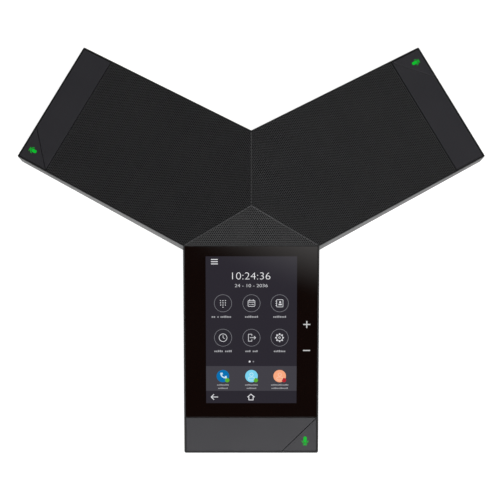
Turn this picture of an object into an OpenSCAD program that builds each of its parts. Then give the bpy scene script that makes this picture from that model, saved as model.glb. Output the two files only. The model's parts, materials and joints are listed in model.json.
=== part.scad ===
// Three-armed conference phone with a touch screen in its front arm.
// Each arm frame has x along the arm, outwards from the centre, and z up.
// The deck is the sloping top face of an arm; depths are measured square to it.

/* [Body] */
// Width of each arm
arm_width = 107; // [100:0.5:110]
// Length of each arm from the centre to its tip
arm_length = 192; // [188:0.5:200]
// Height of the apex above the table
apex_height = 74; // [73:0.25:80]
// Slope of each arm's deck in degrees
deck_tilt = 15; // [14.5:0.1:15.5]
// Radius of the upright corners at the arm tips
tip_radius = 1.5; // [0.8:0.1:2.5]
// Bevel along the top edges of the housing
edge_bevel = 0.4; // [0.2:0.1:0.6]
// Width of the rim that frames the panels
rim = 1.2; // [1.1:0.1:1.8]
// Seam left between neighbouring panels
seam = 0.4; // [0.3:0.05:0.5]

/* [Housings] */
// Wall of the two housings
wall = 2.4; // [2:0.1:2.8]
// Thickness from the deck surface to the underside of the top housing
deck_t = 4; // [3.8:0.1:4.6]
// Depth of the top housing's skirt
skirt = 8; // [7.5:0.25:9]
// Height of the floor's underside above the table
floor_z = 3; // [2.6:0.1:3.6]
// Thickness of the floor
floor_t = 2.4; // [2:0.1:2.6]
// Height of the upright side wall's lower edge at an arm tip
band_z = 3; // [2.8:0.1:4]
// Rise of that edge towards the centre, in degrees
band_rise = 11.6; // [10.5:0.1:12]
// Angle of the undercut below it, from the horizontal
undercut_angle = 60; // [58:0.5:64]
// Height of the locating tongue inside the parting line
tongue_h = 2; // [1.5:0.1:2.5]
// Play round the tongue
tongue_play = 0.15; // [0.1:0.05:0.2]

/* [Panels] */
// Thickness of the perforated grille sheet
grille_t = 0.8; // [0.6:0.05:1]
// Thickness of the acoustic cloth under it; the glass is as thick as both
cloth_t = 0.4; // [0.3:0.05:0.5]
// Length of the end caps along the arm, in plan
cap_length = 28; // [27:0.25:29]
// Thickness of the end caps and mute keys
cap_t = 1.8; // [1.6:0.1:2]

/* [Mute keys] */
// Leg of the triangular key along the tip edge
key_leg = 28; // [26.5:0.25:29]
// Travel of a key
key_travel = 0.8; // [0.5:0.05:0.9]
// Gap between a pressed key and the pocket floor
key_rest_gap = 0.3; // [0.2:0.05:0.4]
// Radius of a key's guide pins
key_pin_r = 1.2; // [1:0.1:1.4]
// Radial play of the guide pins
key_pin_play = 0.08; // [0.05:0.01:0.1]
// Depth of the switch board's top face below the deck surface
key_board_depth = 8.4; // [8.2:0.1:9]
// Thickness of the circuit boards
board_t = 1.6; // [1.2:0.1:1.8]
// Distance of the lit microphone sign from the tip edge of its key
sign_from_tip = 8.8; // [8.2:0.1:9.4]
// Distance of the sign from the side edge of its key
sign_from_side = 9.3; // [8.7:0.1:9.8]

/* [Display] */
// Start of the LCD panel, in plan from the centre
lcd_start = 36.5; // [36:0.25:38]
// Length of the LCD panel on the deck
lcd_length = 124; // [121:0.5:125]
// Width of the LCD panel
lcd_width = 76; // [74:0.5:78]
// Play round the LCD panel in its window
lcd_play = 0.5; // [0.3:0.1:0.6]
// Thickness of the metal tray behind it
tray_t = 0.8; // [0.6:0.1:1]
// Lip of the tray that laps onto the housing
tray_lip = 4; // [3.5:0.25:4.5]
// Depth of the tray's folded edges
tray_fold = 4; // [3:0.5:5]

/* [Speaker] */
// Room between the baffle and the deck's underside at the flange edge
baffle_room = 5.6; // [5.4:0.1:6.2]
// Thickness of the baffle
baffle_t = 3; // [2.6:0.2:3.4]
// Outside radius of the speaker chamber
chamber_r = 44; // [43:0.25:45]
// Wall of the speaker chamber
chamber_wall = 1.8; // [1.5:0.1:2.2]
// Gap between the chamber and the bay's ceiling
chamber_gap = 0.3; // [0.2:0.05:0.5]
// Top of the chamber's lobes in the rear arms
lobe_z = 40; // [36:0.5:41]
// Reach of the lobes from the centre
lobe_reach = 92; // [80:1:94]
// Width of the lobes
lobe_width = 56; // [44:1:60]
// Radius of the speaker's mounting flange
flange_r = 38; // [37.5:0.1:38.5]
// Thickness of the flange
flange_t = 1.5; // [1.2:0.1:1.8]
// Radius of the basket where it passes the baffle
basket_r = 32.2; // [32:0.1:32.4]
// Outside radius of the cone
cone_r = 28.3; // [27.8:0.1:28.6]
// Radius of the sound opening in the top housing
sound_r = 28; // [26:0.25:28.5]
// Travel of the cone each way
cone_travel = 1.5; // [1.3:0.1:1.6]
// Thickness of the seal under the flange
seal_t = 0.8; // [0.6:0.1:1]

/* [Sockets] */
// Width of the cable bay under the rear notch
bay_width = 66; // [62:1:70]
// Distance of the bay's back wall behind the centre
bay_y = 22; // [21:0.25:23]
// Height of the main board's underside
board_z = 7.6; // [7.2:0.1:8]
// Play round each socket in its window
socket_play = 0.3; // [0.2:0.05:0.4]

/* [Fasteners and feet] */
// Radius of the housing screws' shanks
screw_r = 1.5; // [1.4:0.05:1.6]
// Radius of their heads
screw_head_r = 2.8; // [2.6:0.1:3]
// Height of their heads
screw_head_h = 2; // [1.6:0.1:2.2]
// Play between a screw and its hole
screw_play = 0.05; // [0.03:0.01:0.08]
// Top of the screw towers on the floor
tower_z = 14; // [13:0.25:14]
// Radius of the screw towers
tower_r = 4; // [3.8:0.1:4.2]
// Radius of the bosses on the top housing
boss_r = 3.4; // [3.2:0.1:3.6]
// Distance of the tip screws from the arm tip
tip_screw_inset = 31; // [30.5:0.1:31.5]
// Sideways distance of the tip screws from the arm's centre line
tip_screw_side = 40; // [38:0.25:40.5]
// Distance of the middle screws from the centre
mid_screw_x = 108; // [106:0.5:116]
// Sideways distance of the middle screws
mid_screw_side = 34; // [33.5:0.1:34.5]
// Length of a foot across its arm
foot_length = 60; // [50:1:66]
// Width of a foot
foot_width = 10; // [8:0.5:12]
// Distance of a foot's centre from the arm tip
foot_inset = 18; // [14:0.5:20]
// Depth of a foot's recess in the floor
foot_sink = 1; // [0.6:0.1:1.2]

/* [Hidden] */
$fn = 48;

// Arms by number, each turned from +X
front = 0;
right = 1;
left = 2;
arms = [front, right, left];
rear_arms = [right, left];
arm_angle = [-90, 30, 150];
both_sides = [-1, 1];

reach = 2 * arm_length;
half_width = arm_width / 2;
deck_slope = tan(deck_tilt);
deck_cos = cos(deck_tilt);
// The centre lies where the box round all three arms is centred on the origin
rear_edge_y = arm_length / 2 + half_width * sqrt(3) / 2;
centre_y = (arm_length - rear_edge_y) / 2;
// Distance along an arm at which two neighbouring arms meet in a notch
notch_x = half_width / sqrt(3);
// Each arm's mass starts a little past the centre, inside its neighbours
root_x = notch_x / 3;
// The valley between two undercuts: its height over the centre and its slope towards the notch
side_slope = tan(undercut_angle) / cos(band_rise);
valley_z = band_z + arm_length * tan(band_rise) - half_width * side_slope;
valley_slope = side_slope * sqrt(3) / 2 - tan(band_rise) / 2;
valley_flat = 0.5;
grille_depth = grille_t + cloth_t;
glass_t = grille_depth;
cap_x = arm_length - cap_length;
panel_half = half_width - rim;
floor_top = floor_z + floor_t;

// Height of the deck above the table at a distance along the arm and a depth below its surface
function deck_z(x, depth = 0) = apex_height - x * deck_slope - depth / deck_cos;
// Half the room inside the undercut walls of an arm, at a distance along it and a height
function side_room(x, z) = half_width - (band_z + (arm_length - x) * tan(band_rise) - z
  + wall * sqrt(1 + side_slope * side_slope + tan(band_rise) * tan(band_rise))) / side_slope;
// Distance on the deck from the apex for a distance in plan
function along(x) = x / deck_cos;

module at_centre() { translate([0, centre_y, 0]) children(); }

module on_arm(i) { at_centre() rotate([0, 0, arm_angle[i]]) children(); }

module on_arms(list) { for (i = list) on_arm(i) children(); }

// Deck frame: x down the slope from the apex, z out of the deck
module on_deck(depth = 0) {
  translate([0, 0, apex_height]) rotate([0, deck_tilt, 0]) translate([0, 0, -depth]) children();
}

// How far a cut runs past the face it opens, and a joined shape into its neighbour
past = 1;
bite = 0.5;

// Small fixed sizes
key_board_t = 1.2;
small_screw_r = 0.8;
small_screw_bite = 2.4;
small_boss_r = 2.2;
small_head_r = 1.5;
small_head_h = 0.9;
screw_bite = 7;
screw_seat = 5;
screw_head_play = 0.4;
hole_relief = 0.2;
hole_end = 0.3;
tongue_end_gap = 0.2;
rib_t = 1.6;
rib_h = 5;
rib_half = 38;
rib_side = 18;
vent_count = 7;
vent_pitch = 5;
vent_x = 50;
vent_size = [2, 22];
window_size = [11, 24];
window_pitch = [16, 30];
window_x = 52;
cloth_inset = 1;
foot_play = 0.1;
transformer = [15, 14, 11];
antenna = [34, 9, 0.8];
antenna_from = [8, 28];

// ---- Masses that the housings and panels are cut from ----

// The corners are round where the inset leaves them a radius worth having
module arm_outline(inset = 0) {
  half = half_width - inset;
  tip = arm_length - inset;
  r = tip_radius - inset > edge_bevel ? tip_radius - inset : 0;
  translate([-root_x, r - half]) square([tip + root_x, 2 * (half - r)]);
  if (r > 0) {
    translate([-root_x, -half]) square([tip - r + root_x, 2 * half]);
    for (s = both_sides) translate([tip - r, s * (half - r)]) circle(r);
  }
}

module star_outline(inset = 0) { on_arms(arms) arm_outline(inset); }

module below_arm_deck(depth) {
  on_deck(depth) translate([-reach, -reach, -reach]) cube([2 * reach, 2 * reach, reach]);
}

// Everything below all three decks
module below_decks(depth) {
  intersection() {
    on_arm(front) below_arm_deck(depth);
    on_arm(right) below_arm_deck(depth);
    on_arm(left) below_arm_deck(depth);
  }
}

module star_mass(inset = 0, depth = 0) {
  intersection() {
    linear_extrude(apex_height) star_outline(inset);
    below_decks(depth);
  }
}

// A folded layer under the decks between two depths
module deck_layer(from_depth, thickness) {
  difference() {
    intersection() {
      linear_extrude(apex_height) children();
      below_decks(from_depth);
    }
    below_decks(from_depth + thickness);
  }
}

// What the undercut takes off the left side of an arm, moved inwards by the wall
module undercut(inset) {
  translate([arm_length, half_width, band_z]) rotate([0, band_rise, 0]) rotate([undercut_angle, 0, 0])
    translate([-reach, -reach, inset - reach]) cube([2 * reach, 2 * reach, reach]);
}

// Two neighbouring arms are undercut on the sides that face each other, and a narrow flat
// runs along the valley where the two slopes meet under the notch
module undercut_pair(i, inset) {
  intersection() {
    on_arm(i) undercut(inset);
    on_arm((i + 1) % 3) mirror([0, 1, 0]) undercut(inset);
    at_centre() rotate([0, 0, arm_angle[i] + 60]) translate([0, 0, valley_z])
      rotate([0, -atan(valley_slope), 0])
        translate([-reach, -reach, inset - valley_flat - reach]) cube([2 * reach, 2 * reach, reach]);
  }
}

module base_mass(inset, low, depth) {
  difference() {
    intersection() {
      translate([0, 0, low]) linear_extrude(apex_height) star_outline(inset);
      below_decks(depth);
    }
    for (i = arms) undercut_pair(i, inset);
  }
}

// What bevels the top edges of one arm takes off
module edge_bevels() {
  for (s = both_sides) on_deck() translate([0, s * (half_width - edge_bevel), 0]) rotate([s * -45, 0, 0])
    translate([-reach, -reach, 0]) cube([2 * reach, 2 * reach, reach]);
  on_deck() translate([along(arm_length) - edge_bevel, 0, 0]) rotate([0, 45, 0])
    translate([-reach, -reach, 0]) cube([2 * reach, 2 * reach, reach]);
}

// ---- Places that several pieces share ----

screw_tip_x = arm_length - tip_screw_inset;
tip_screws = [for (s = both_sides) [screw_tip_x, s * tip_screw_side]];
mid_screws = [for (s = both_sides) [mid_screw_x, s * mid_screw_side]];

module at_housing_screws() {
  on_arms(arms) for (p = tip_screws) translate(p) children();
  on_arms(rear_arms) for (p = mid_screws) translate(p) children();
}

// Triangular key in the corner of each end cap, in deck coordinates
key_start = along(cap_x);
key_end = along(arm_length - rim);
key_span = key_end - key_start;
key_lean = key_leg / key_span;
key_slant = sqrt(1 + key_lean * key_lean);
function diagonal_y(x, shift) = panel_half - (x - key_start) * key_lean + shift * key_slant;
function diagonal_x(y, shift) = key_start + (panel_half - y + shift * key_slant) / key_lean;

sign_at = [key_end - sign_from_tip, panel_half - sign_from_side];
sign_window_r = 6;
plunger_at = [key_end - 15.5, panel_half - 5];
key_pins = [[key_end - 3.2, panel_half - 20.2], [key_end - 20, panel_half - 3]];
key_pocket = cap_t + key_travel + key_rest_gap;
key_pin_end = deck_t + 1.5;
key_board_bosses = [[key_end - 19, panel_half - 14.5], [key_end - 4.5, panel_half - 14]];
key_board_size = [20.5, 20.6];
key_board_to = [key_end - 2.5, panel_half - 1.4];
key_board_from = key_board_to - key_board_size;
switch_side = 6;
switch_h = 2.6;
post_r = 1.5;
post_play = 0.4;
plunger_r = 1.7;
plunger_stroke_room = 0.1;
switch_top = key_board_depth - switch_h;
plunger_top = switch_top - key_travel - plunger_stroke_room;
hook_gap = 0.05;
hook_reach = 0.5;
hook_play = [0.1, 0.3];
hook_size = [1, 2.4];
key_clear = 0.4;
key_hook_at = [key_end - 2.2, half_width - wall - key_clear - hook_size[1] / 2];
hook_end = deck_t + 1.4;
plunger_bite = 0.9;
sign_play = 0.05;
guide_r = 2;
guide_flange_r = 4.6;
guide_flange_t = 0.8;
guide_bite = 0.2;
led_h = 1;
led_gap = 0.3;
guide_end = key_board_depth - led_h - key_travel - led_gap;

cap_hook_sides = [-36, -14];
cap_hook_x = key_start + 3;
cap_hook_size = [1.2, 6];

glass_start = along(notch_x) + seam / 2;
glass_end = key_start - seam / 2;
glass_half = panel_half - seam / 4;

lcd_from = along(lcd_start);
lcd_to = lcd_from + lcd_length;
tray_from = lcd_from - lcd_play - tray_lip / 4;
tray_to = lcd_to + lcd_play + tray_lip;
tray_half = lcd_width / 2 + lcd_play + tray_lip;
display_screw_spots = [for (x = [lcd_from + 20, lcd_to - 12], s = both_sides)
  [x, s * (tray_half - tray_lip / 2)]];

tray_window = [24, 40];
tray_window_x = lcd_from + 14;
tray_window_pitch = 34;
post_clear = 0.6;

flex_x = 66;
flex_width = 22;
flex_t = 0.3;
connector_h = 2;
connector_l = 5;

module at_display_screws() { for (p = display_screw_spots) translate(p) children(); }

mic_under_cap = 3;
mic_spots = [[front, cap_x + mic_under_cap, 0], [right, cap_x - 16, 0], [left, cap_x - 16, 0]];
mic_r = 3;
mic_h = 3.4;
boot_wall = 2;
boot_h = 6;
boot_face = 1.2;
mic_port_r = 1.2;
mic_play = 0.05;

module at_microphones() {
  for (m = mic_spots) on_arm(m[0]) on_deck(deck_t) translate([along(m[1]), m[2], 0]) children();
}

// Speaker heights, counted from the underside of the flange
baffle_z = deck_z(flange_r, deck_t) - baffle_room;
flange_z = baffle_z + seal_t;
shelf_drop = 10.8;
basket_drop = 16;
plate_t = 2.4;
magnet_t = 5.6;
yoke_t = 2;
magnet_r = 18.5;
pole_r = 9.8;
coil_in_r = 10.1;
former_t = 0.3;
coil_t = 0.4;
coil_gap = 0.3;
former_r = coil_in_r + former_t;
gap_r = former_r + coil_t + coil_gap;
coil_overhang = cone_travel;
cone_low = -7;
cone_high = flange_t;
cone_t = 0.8;
dust_cap_r = 11.8;
dust_cap_sphere = 14;
shelf_r = 22;
shelf_in_r = shelf_r + 2.5;
shelf_out_r = shelf_r + 3.6;
shelf_t = 0.8;
basket_low_r = 18.6;
basket_t = 1.2;
heel_h = 1;
heel_in = 0.6;
window_clear = 0.1;
basket_play = 0.5;
basket_window = [12, 18];
surround_t = 0.4;
roll_play = 0.1;
surround_roll = cone_travel + 0.2;
surround_r = cone_r + surround_roll;
seal_out_r = flange_r - 4.8;
speaker_screw_circle = flange_r - 2.5;
speaker_screw_r = 1.25;
speaker_screw_head_r = 2.1;
speaker_screw_head_h = 1.2;
speaker_screw_depth = 2.4;

module on_screw_circle() {
  for (a = [45 : 90 : 315]) rotate([0, 0, a]) translate([speaker_screw_circle, 0, 0]) children();
}

ear_reach = 10;
ear_root = 3;
ear_width = 13;
ear_t = 2.4;
pillar_r = 4;
ear_screw_inset = 5;
chamber_screw_bite = 6;
chamber_pillars = [
  [front, chamber_r + ear_reach - ear_screw_inset],
  [right, lobe_reach + ear_reach - ear_screw_inset],
  [left, lobe_reach + ear_reach - ear_screw_inset]
];

module at_chamber_pillars() { for (p = chamber_pillars) on_arm(p[0]) translate([p[1], 0, 0]) children(); }

// Main board, in the front arm's frame: x towards the front, y to the right
board_rear_gap = 0.6;
board_from_x = -(bay_y - wall - board_rear_gap);
board_to_x = 80;
board_side_gap = 2.7;
board_half = side_room(notch_x, board_z) - board_side_gap;
board_top = board_z + board_t;
board_screw_r = 1.1;
board_screw_head_r = 2;
board_screw_head_h = 1.2;
board_post_r = 3;
board_screw_spots = [for (x = [board_from_x + 5, board_to_x - 5], s = both_sides)
  [x, s * (board_half - 4.5)]];

// Shield cans by the place of their near corner, the processor's by its length and height
radio_can = [20, 18, 3];
radio_x = 22;
radio_y = 3 - board_half;
processor_can = [32, 3.5];
processor_x = 8;
processor_edge_room = 6;
can_gap = 3;

module at_board_screws() { on_arm(front) for (p = board_screw_spots) translate(p) children(); }

// Sockets by their middle x and their width, depth and height
lan_x = -15;
lan_size = [16, 21, 13.5];
lan_mouth = [11.8, 13, 8.2];
lan_mouth_z = 2.4;
lan_latch = [6.2, 1.5];
usb_x = 6;
usb_size = [13.2, 14, 5.9];
usb_skin = 0.5;
usb_back = 3;
usb_tongue_side = 1.2;
usb_tongue_t = 1.6;
service_x = 20;
service_size = [7.8, 5.6, 2.9];
socket_stand_proud = 0.4;
bay_head_room = 0.2;
bay_top = board_top + lan_size[2] + socket_play + bay_head_room;
chamber_z = bay_top + wall + chamber_gap;

module at_socket(x, size) {
  at_centre() translate([x - size[0] / 2, bay_y - socket_stand_proud - size[1], board_top]) children();
}

// ---- Housings ----

module window_for(x, size) {
  at_centre() translate([x - size[0] / 2 - socket_play, bay_y - wall - past, board_top - socket_play])
    cube([size[0] + 2 * socket_play, wall + 2 * past, size[2] + 2 * socket_play]);
}

module bay_block(grow, low) {
  at_centre() translate([-bay_width / 2 - grow, bay_y - grow, low])
    cube([bay_width + 2 * grow, arm_length, bay_top + grow - low]);
}

module floor_ribs() {
  translate([0, 0, floor_top - bite]) on_arms(arms) {
    for (x = [mid_screw_x + 10, screw_tip_x - 14]) translate([x, -rib_half, 0])
      cube([rib_t, 2 * rib_half, rib_h + bite]);
    for (s = both_sides) translate([mid_screw_x - 4, s * rib_side - rib_t / 2, 0])
      cube([screw_tip_x - mid_screw_x, rib_t, rib_h + bite]);
  }
}

module floor_vents() {
  on_arms(rear_arms) for (k = [0 : vent_count - 1])
    translate([vent_x + k * vent_pitch, -vent_size[1] / 2, floor_z - past])
      cube([vent_size[0], vent_size[1], floor_t + 2 * past]);
}

module foot_outline(grow = 0) {
  translate([arm_length - foot_inset, 0]) {
    square([foot_width + 2 * grow, foot_length - foot_width], center = true);
    for (s = both_sides) translate([0, s * (foot_length - foot_width) / 2]) circle(foot_width / 2 + grow);
  }
}

module base_shell() {
  difference() {
    union() {
      difference() {
        base_mass(0, floor_z, skirt);
        base_mass(wall, floor_top, skirt - past);
      }
      intersection() {
        bay_block(wall, floor_z);
        base_mass(0, floor_z, skirt);
      }
    }
    bay_block(0, -past);
  }
}

module tongue() {
  difference() {
    intersection() {
      linear_extrude(apex_height) star_outline(wall / 2 + tongue_play);
      below_decks(skirt - tongue_h);
    }
    linear_extrude(apex_height) star_outline(wall);
    below_decks(skirt + past);
  }
}

module floor_post(r, top) {
  translate([0, 0, floor_top - bite]) cylinder(r = r, h = top - floor_top + bite);
}

module base_housing() {
  color("dimgray") difference() {
    union() {
      base_shell();
      tongue();
      at_housing_screws() floor_post(tower_r, tower_z);
      at_chamber_pillars() floor_post(pillar_r, chamber_z);
      at_board_screws() floor_post(board_post_r, board_z);
      floor_ribs();
    }
    at_housing_screws() {
      translate([0, 0, -past])
        cylinder(r = screw_head_r + screw_head_play, h = tower_z - screw_seat + past);
      cylinder(r = screw_r + screw_play, h = apex_height);
    }
    at_chamber_pillars() translate([0, 0, chamber_z - chamber_screw_bite - 2])
      cylinder(r = screw_r + screw_play, h = chamber_screw_bite + 2 + past);
    at_board_screws() translate([0, 0, floor_top - past])
      cylinder(r = board_screw_r + screw_play, h = board_z);
    on_arms(arms) linear_extrude(floor_z + foot_sink) foot_outline();
    floor_vents();
    window_for(lan_x, lan_size);
    window_for(usb_x, usb_size);
    window_for(service_x, service_size);
  }
}

// Outline of the folded grille: the whole star but the display and the end caps
module grille_outline(inset) {
  difference() {
    star_outline(rim + inset);
    on_arm(front) translate([notch_x - inset, -arm_width]) square([arm_length, 2 * arm_width]);
    on_arms(rear_arms) translate([cap_x - inset, -arm_width]) square([arm_length, 2 * arm_width]);
  }
}

module sound_opening() {
  spoke = 3.5;
  hub_r = 7;
  at_centre() difference() {
    cylinder(r = sound_r, h = 2 * apex_height);
    cylinder(r = hub_r, h = 2 * apex_height);
    for (i = arms) rotate([0, 0, arm_angle[i] + 60]) translate([0, -spoke / 2, 0])
      cube([reach, spoke, 2 * apex_height]);
  }
}

module carrier_windows() {
  on_arms(rear_arms) for (k = [0 : 2], s = [-1, 0, 1])
    translate([window_x + k * window_pitch[0], s * window_pitch[1] - window_size[1] / 2, chamber_z])
      cube([window_size[0], window_size[1], apex_height]);
}

// The corner that the key's diagonal cuts off a rectangle which ends at far_x and far_y
module key_corner(far_y, far_x, shift) {
  polygon([[diagonal_x(far_y, shift), far_y], [far_x, far_y], [far_x, diagonal_y(far_x, shift)]]);
}

module key_outline(gap) { key_corner(panel_half - gap, key_end - gap, gap / 2); }

module cap_outline(gap) {
  near_x = key_start + gap / 2;
  far_x = key_end - gap;
  polygon([[near_x, gap - panel_half], [far_x, gap - panel_half],
    [far_x, diagonal_y(far_x, -gap / 2)], [near_x, diagonal_y(near_x, -gap / 2)]]);
}

module deck_cut(depth) { on_deck(depth) linear_extrude(reach) children(); }

module display_window() {
  translate([lcd_from - lcd_play, -lcd_width / 2 - lcd_play])
    square([lcd_length + 2 * lcd_play, lcd_width + 2 * lcd_play]);
}

// One pocket inside the rim, with a floor that steps down under the caps and again under the keys
module panel_pockets() {
  difference() {
    linear_extrude(2 * apex_height) star_outline(rim);
    difference() {
      below_decks(grille_depth);
      on_arms(arms) deck_cut(cap_t) translate([key_start, -arm_width]) square([arm_length, 2 * arm_width]);
      on_arms(arms) deck_cut(key_pocket) key_corner(panel_half + 2 * rim, key_end + 2 * rim, 0);
    }
  }
}

module hook_slot(size) {
  translate([-size[0] / 2 - hook_reach - hook_play[0], -size[1] / 2 - hook_play[1], -reach])
    cube([size[0] + 2 * (hook_reach + hook_play[0]), size[1] + 2 * hook_play[1], reach]);
}

module key_openings() {
  on_deck() {
    for (p = key_pins) translate([p[0], p[1], -reach]) cylinder(r = key_pin_r + key_pin_play, h = reach);
    translate([plunger_at[0], plunger_at[1], -reach]) cylinder(r = post_r + post_play, h = reach);
    translate([sign_at[0], sign_at[1], -reach]) cylinder(r = sign_window_r, h = reach);
    translate([key_hook_at[0], key_hook_at[1], 0]) hook_slot(hook_size);
    for (y = cap_hook_sides) translate([cap_hook_x, y, 0]) hook_slot(cap_hook_size);
  }
}

module top_shell() {
  difference() {
    intersection() {
      on_arms(arms) difference() {
        linear_extrude(apex_height) arm_outline();
        edge_bevels();
      }
      below_decks(0);
    }
    below_decks(skirt);
    star_mass(wall, deck_t);
    star_mass(wall / 2, skirt - tongue_h - tongue_end_gap);
  }
}

module top_housing() {
  color("dimgray") difference() {
    union() {
      top_shell();
      intersection() {
        at_housing_screws() translate([0, 0, tower_z]) cylinder(r = boss_r, h = apex_height);
        below_decks(deck_t - bite);
      }
      on_arms(arms) on_deck(key_board_depth) for (p = key_board_bosses)
        translate([p[0], p[1], 0]) cylinder(r = small_boss_r, h = key_board_depth - deck_t + bite);
    }
    panel_pockets();
    on_arms(arms) key_openings();
    on_arms(arms) on_deck(key_board_depth + past) for (p = key_board_bosses) translate(p)
      cylinder(r = small_screw_r + screw_play, h = small_screw_bite + past + hole_end);
    at_housing_screws() translate([0, 0, tower_z - past])
      cylinder(r = screw_r + screw_play, h = screw_bite + 2 * past);
    sound_opening();
    carrier_windows();
    on_arm(front) on_deck() translate([0, 0, -reach]) linear_extrude(reach) display_window();
    on_arm(front) on_deck(deck_t + past) at_display_screws()
      cylinder(r = small_screw_r + screw_play, h = small_screw_bite + past + hole_end);
    at_microphones() translate([0, 0, -past]) cylinder(r = mic_port_r, h = deck_t + 2 * past);
  }
}

// ---- Grille, cloth, caps ----

module speaker_grille() {
  color([0.13, 0.13, 0.14]) deck_layer(0, grille_t) grille_outline(seam / 2);
}

module acoustic_cloth() {
  color("black") deck_layer(grille_t, cloth_t) grille_outline(cloth_inset);
}

// A snap hook that passes a slot and grips the underside of the deck
module snap_hook(from_depth, size) {
  translate([-size[0] / 2, -size[1] / 2, -hook_end]) cube([size[0], size[1], hook_end - from_depth + bite]);
  translate([-size[0] / 2 - hook_reach, -size[1] / 2, -hook_end])
    cube([size[0] + hook_reach, size[1], hook_end - deck_t - hook_gap]);
}

module end_cap(i) {
  color("dimgray") on_arm(i) on_deck() {
    difference() {
      translate([0, 0, -cap_t]) linear_extrude(cap_t) cap_outline(seam);
      if (i == front) sound_channel();
    }
    for (y = cap_hook_sides) translate([cap_hook_x, y, 0]) snap_hook(cap_t, cap_hook_size);
  }
}

// Groove under the front cap that leads sound from the seam to the microphone port
module sound_channel() {
  depth = 0.8;
  translate([key_start - past, -mic_port_r, -cap_t - past])
    cube([along(mic_under_cap) + mic_port_r + past, 2 * mic_port_r, depth + past]);
}

module end_cap_front() { end_cap(front); }
module end_cap_right() { end_cap(right); }
module end_cap_left() { end_cap(left); }

// ---- Mute keys ----

// Microphone sign with its stand, long way along x and its foot outwards
module microphone_sign(grow = 0) {
  capsule_r = 1.3;
  capsule_l = 2.4;
  yoke_r = 2.1;
  line = 0.55;
  stem = 1.1;
  foot = 3.2;
  translate([-capsule_l / 2 - 0.9, 0]) {
    translate([0, -capsule_r - grow]) square([capsule_l, 2 * (capsule_r + grow)]);
    circle(capsule_r + grow);
    translate([capsule_l, 0]) circle(capsule_r + grow);
  }
  difference() {
    circle(yoke_r + line + grow);
    circle(yoke_r - grow);
    translate([-2 * yoke_r, -2 * yoke_r]) square([2 * yoke_r, 4 * yoke_r]);
  }
  translate([yoke_r, -line / 2 - grow]) square([stem + line / 2, line + 2 * grow]);
  translate([yoke_r + stem - grow, -foot / 2 - grow]) square([line + 2 * grow, foot + 2 * grow]);
}

module mute_key(i) {
  color("dimgray") on_arm(i) on_deck() {
    difference() {
      translate([0, 0, -cap_t]) linear_extrude(cap_t) key_outline(seam);
      translate([sign_at[0], sign_at[1], -cap_t - past])
        linear_extrude(cap_t + 2 * past) microphone_sign(sign_play);
    }
    for (p = key_pins) translate([p[0], p[1], -key_pin_end])
      cylinder(r = key_pin_r, h = key_pin_end - cap_t + bite);
    translate([plunger_at[0], plunger_at[1], -plunger_top])
      cylinder(r = post_r, h = plunger_top - cap_t + bite);
    translate([key_hook_at[0], key_hook_at[1], 0]) snap_hook(cap_t, hook_size);
  }
}

module mute_key_front() { mute_key(front); }
module mute_key_right() { mute_key(right); }
module mute_key_left() { mute_key(left); }

module mute_light(i) {
  color("lime") on_arm(i) on_deck() translate([sign_at[0], sign_at[1], 0]) {
    translate([0, 0, -cap_t - guide_bite]) linear_extrude(cap_t + guide_bite) microphone_sign();
    translate([0, 0, -cap_t - guide_flange_t]) cylinder(r = guide_flange_r, h = guide_flange_t);
    translate([0, 0, -guide_end]) cylinder(r = guide_r, h = guide_end - cap_t);
  }
}

module mute_light_front() { mute_light(front); }
module mute_light_right() { mute_light(right); }
module mute_light_left() { mute_light(left); }

module switch_plunger(i) {
  color("black") on_arm(i) on_deck(plunger_top + key_travel + plunger_stroke_room)
    translate([plunger_at[0], plunger_at[1], -plunger_bite])
      cylinder(r = plunger_r, h = plunger_bite + key_travel + plunger_stroke_room);
}

module switch_plunger_front() { switch_plunger(front); }
module switch_plunger_right() { switch_plunger(right); }
module switch_plunger_left() { switch_plunger(left); }

module key_switches() {
  color("silver") on_arms(arms) on_deck(key_board_depth) translate([plunger_at[0], plunger_at[1], 0])
    difference() {
      translate([-switch_side / 2, -switch_side / 2, 0]) cube([switch_side, switch_side, switch_h]);
      translate([0, 0, switch_h - plunger_bite - key_travel - plunger_stroke_room])
        cylinder(r = plunger_r + key_pin_play, h = switch_h);
    }
}

module key_boards() {
  color("darkgreen") on_arms(arms) on_deck(key_board_depth + key_board_t) difference() {
    translate(key_board_from) cube(concat(key_board_size, key_board_t));
    translate([0, 0, -past]) for (p = key_board_bosses) translate(p)
      cylinder(r = small_screw_r + hole_relief, h = key_board_t + 2 * past);
  }
}

// Screw with its head below the origin and its shank going up
module screw(r, length, head_r, head_h) {
  cylinder(r = r, h = length);
  translate([0, 0, -head_h]) cylinder(r = head_r, h = head_h);
}

module key_board_screws() {
  color("silver") on_arms(arms) on_deck(key_board_depth + key_board_t) for (p = key_board_bosses)
    translate(p) screw(small_screw_r, key_board_t + small_screw_bite, small_head_r, small_head_h);
}

module key_leds() {
  color("lightyellow") on_arms(arms) on_deck(key_board_depth) translate([sign_at[0], sign_at[1], led_h / 2])
    cube([2, 1.4, led_h], center = true);
}

// ---- Display ----

module display_glass() {
  color("black") on_arm(front) on_deck(glass_t) translate([glass_start, -glass_half, 0])
    cube([glass_end - glass_start, 2 * glass_half, glass_t]);
}

module lcd_panel() {
  color([0.2, 0.2, 0.24]) on_arm(front) on_deck(deck_t) translate([lcd_from, -lcd_width / 2, 0])
    cube([lcd_length, lcd_width, deck_t - glass_t]);
}

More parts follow.
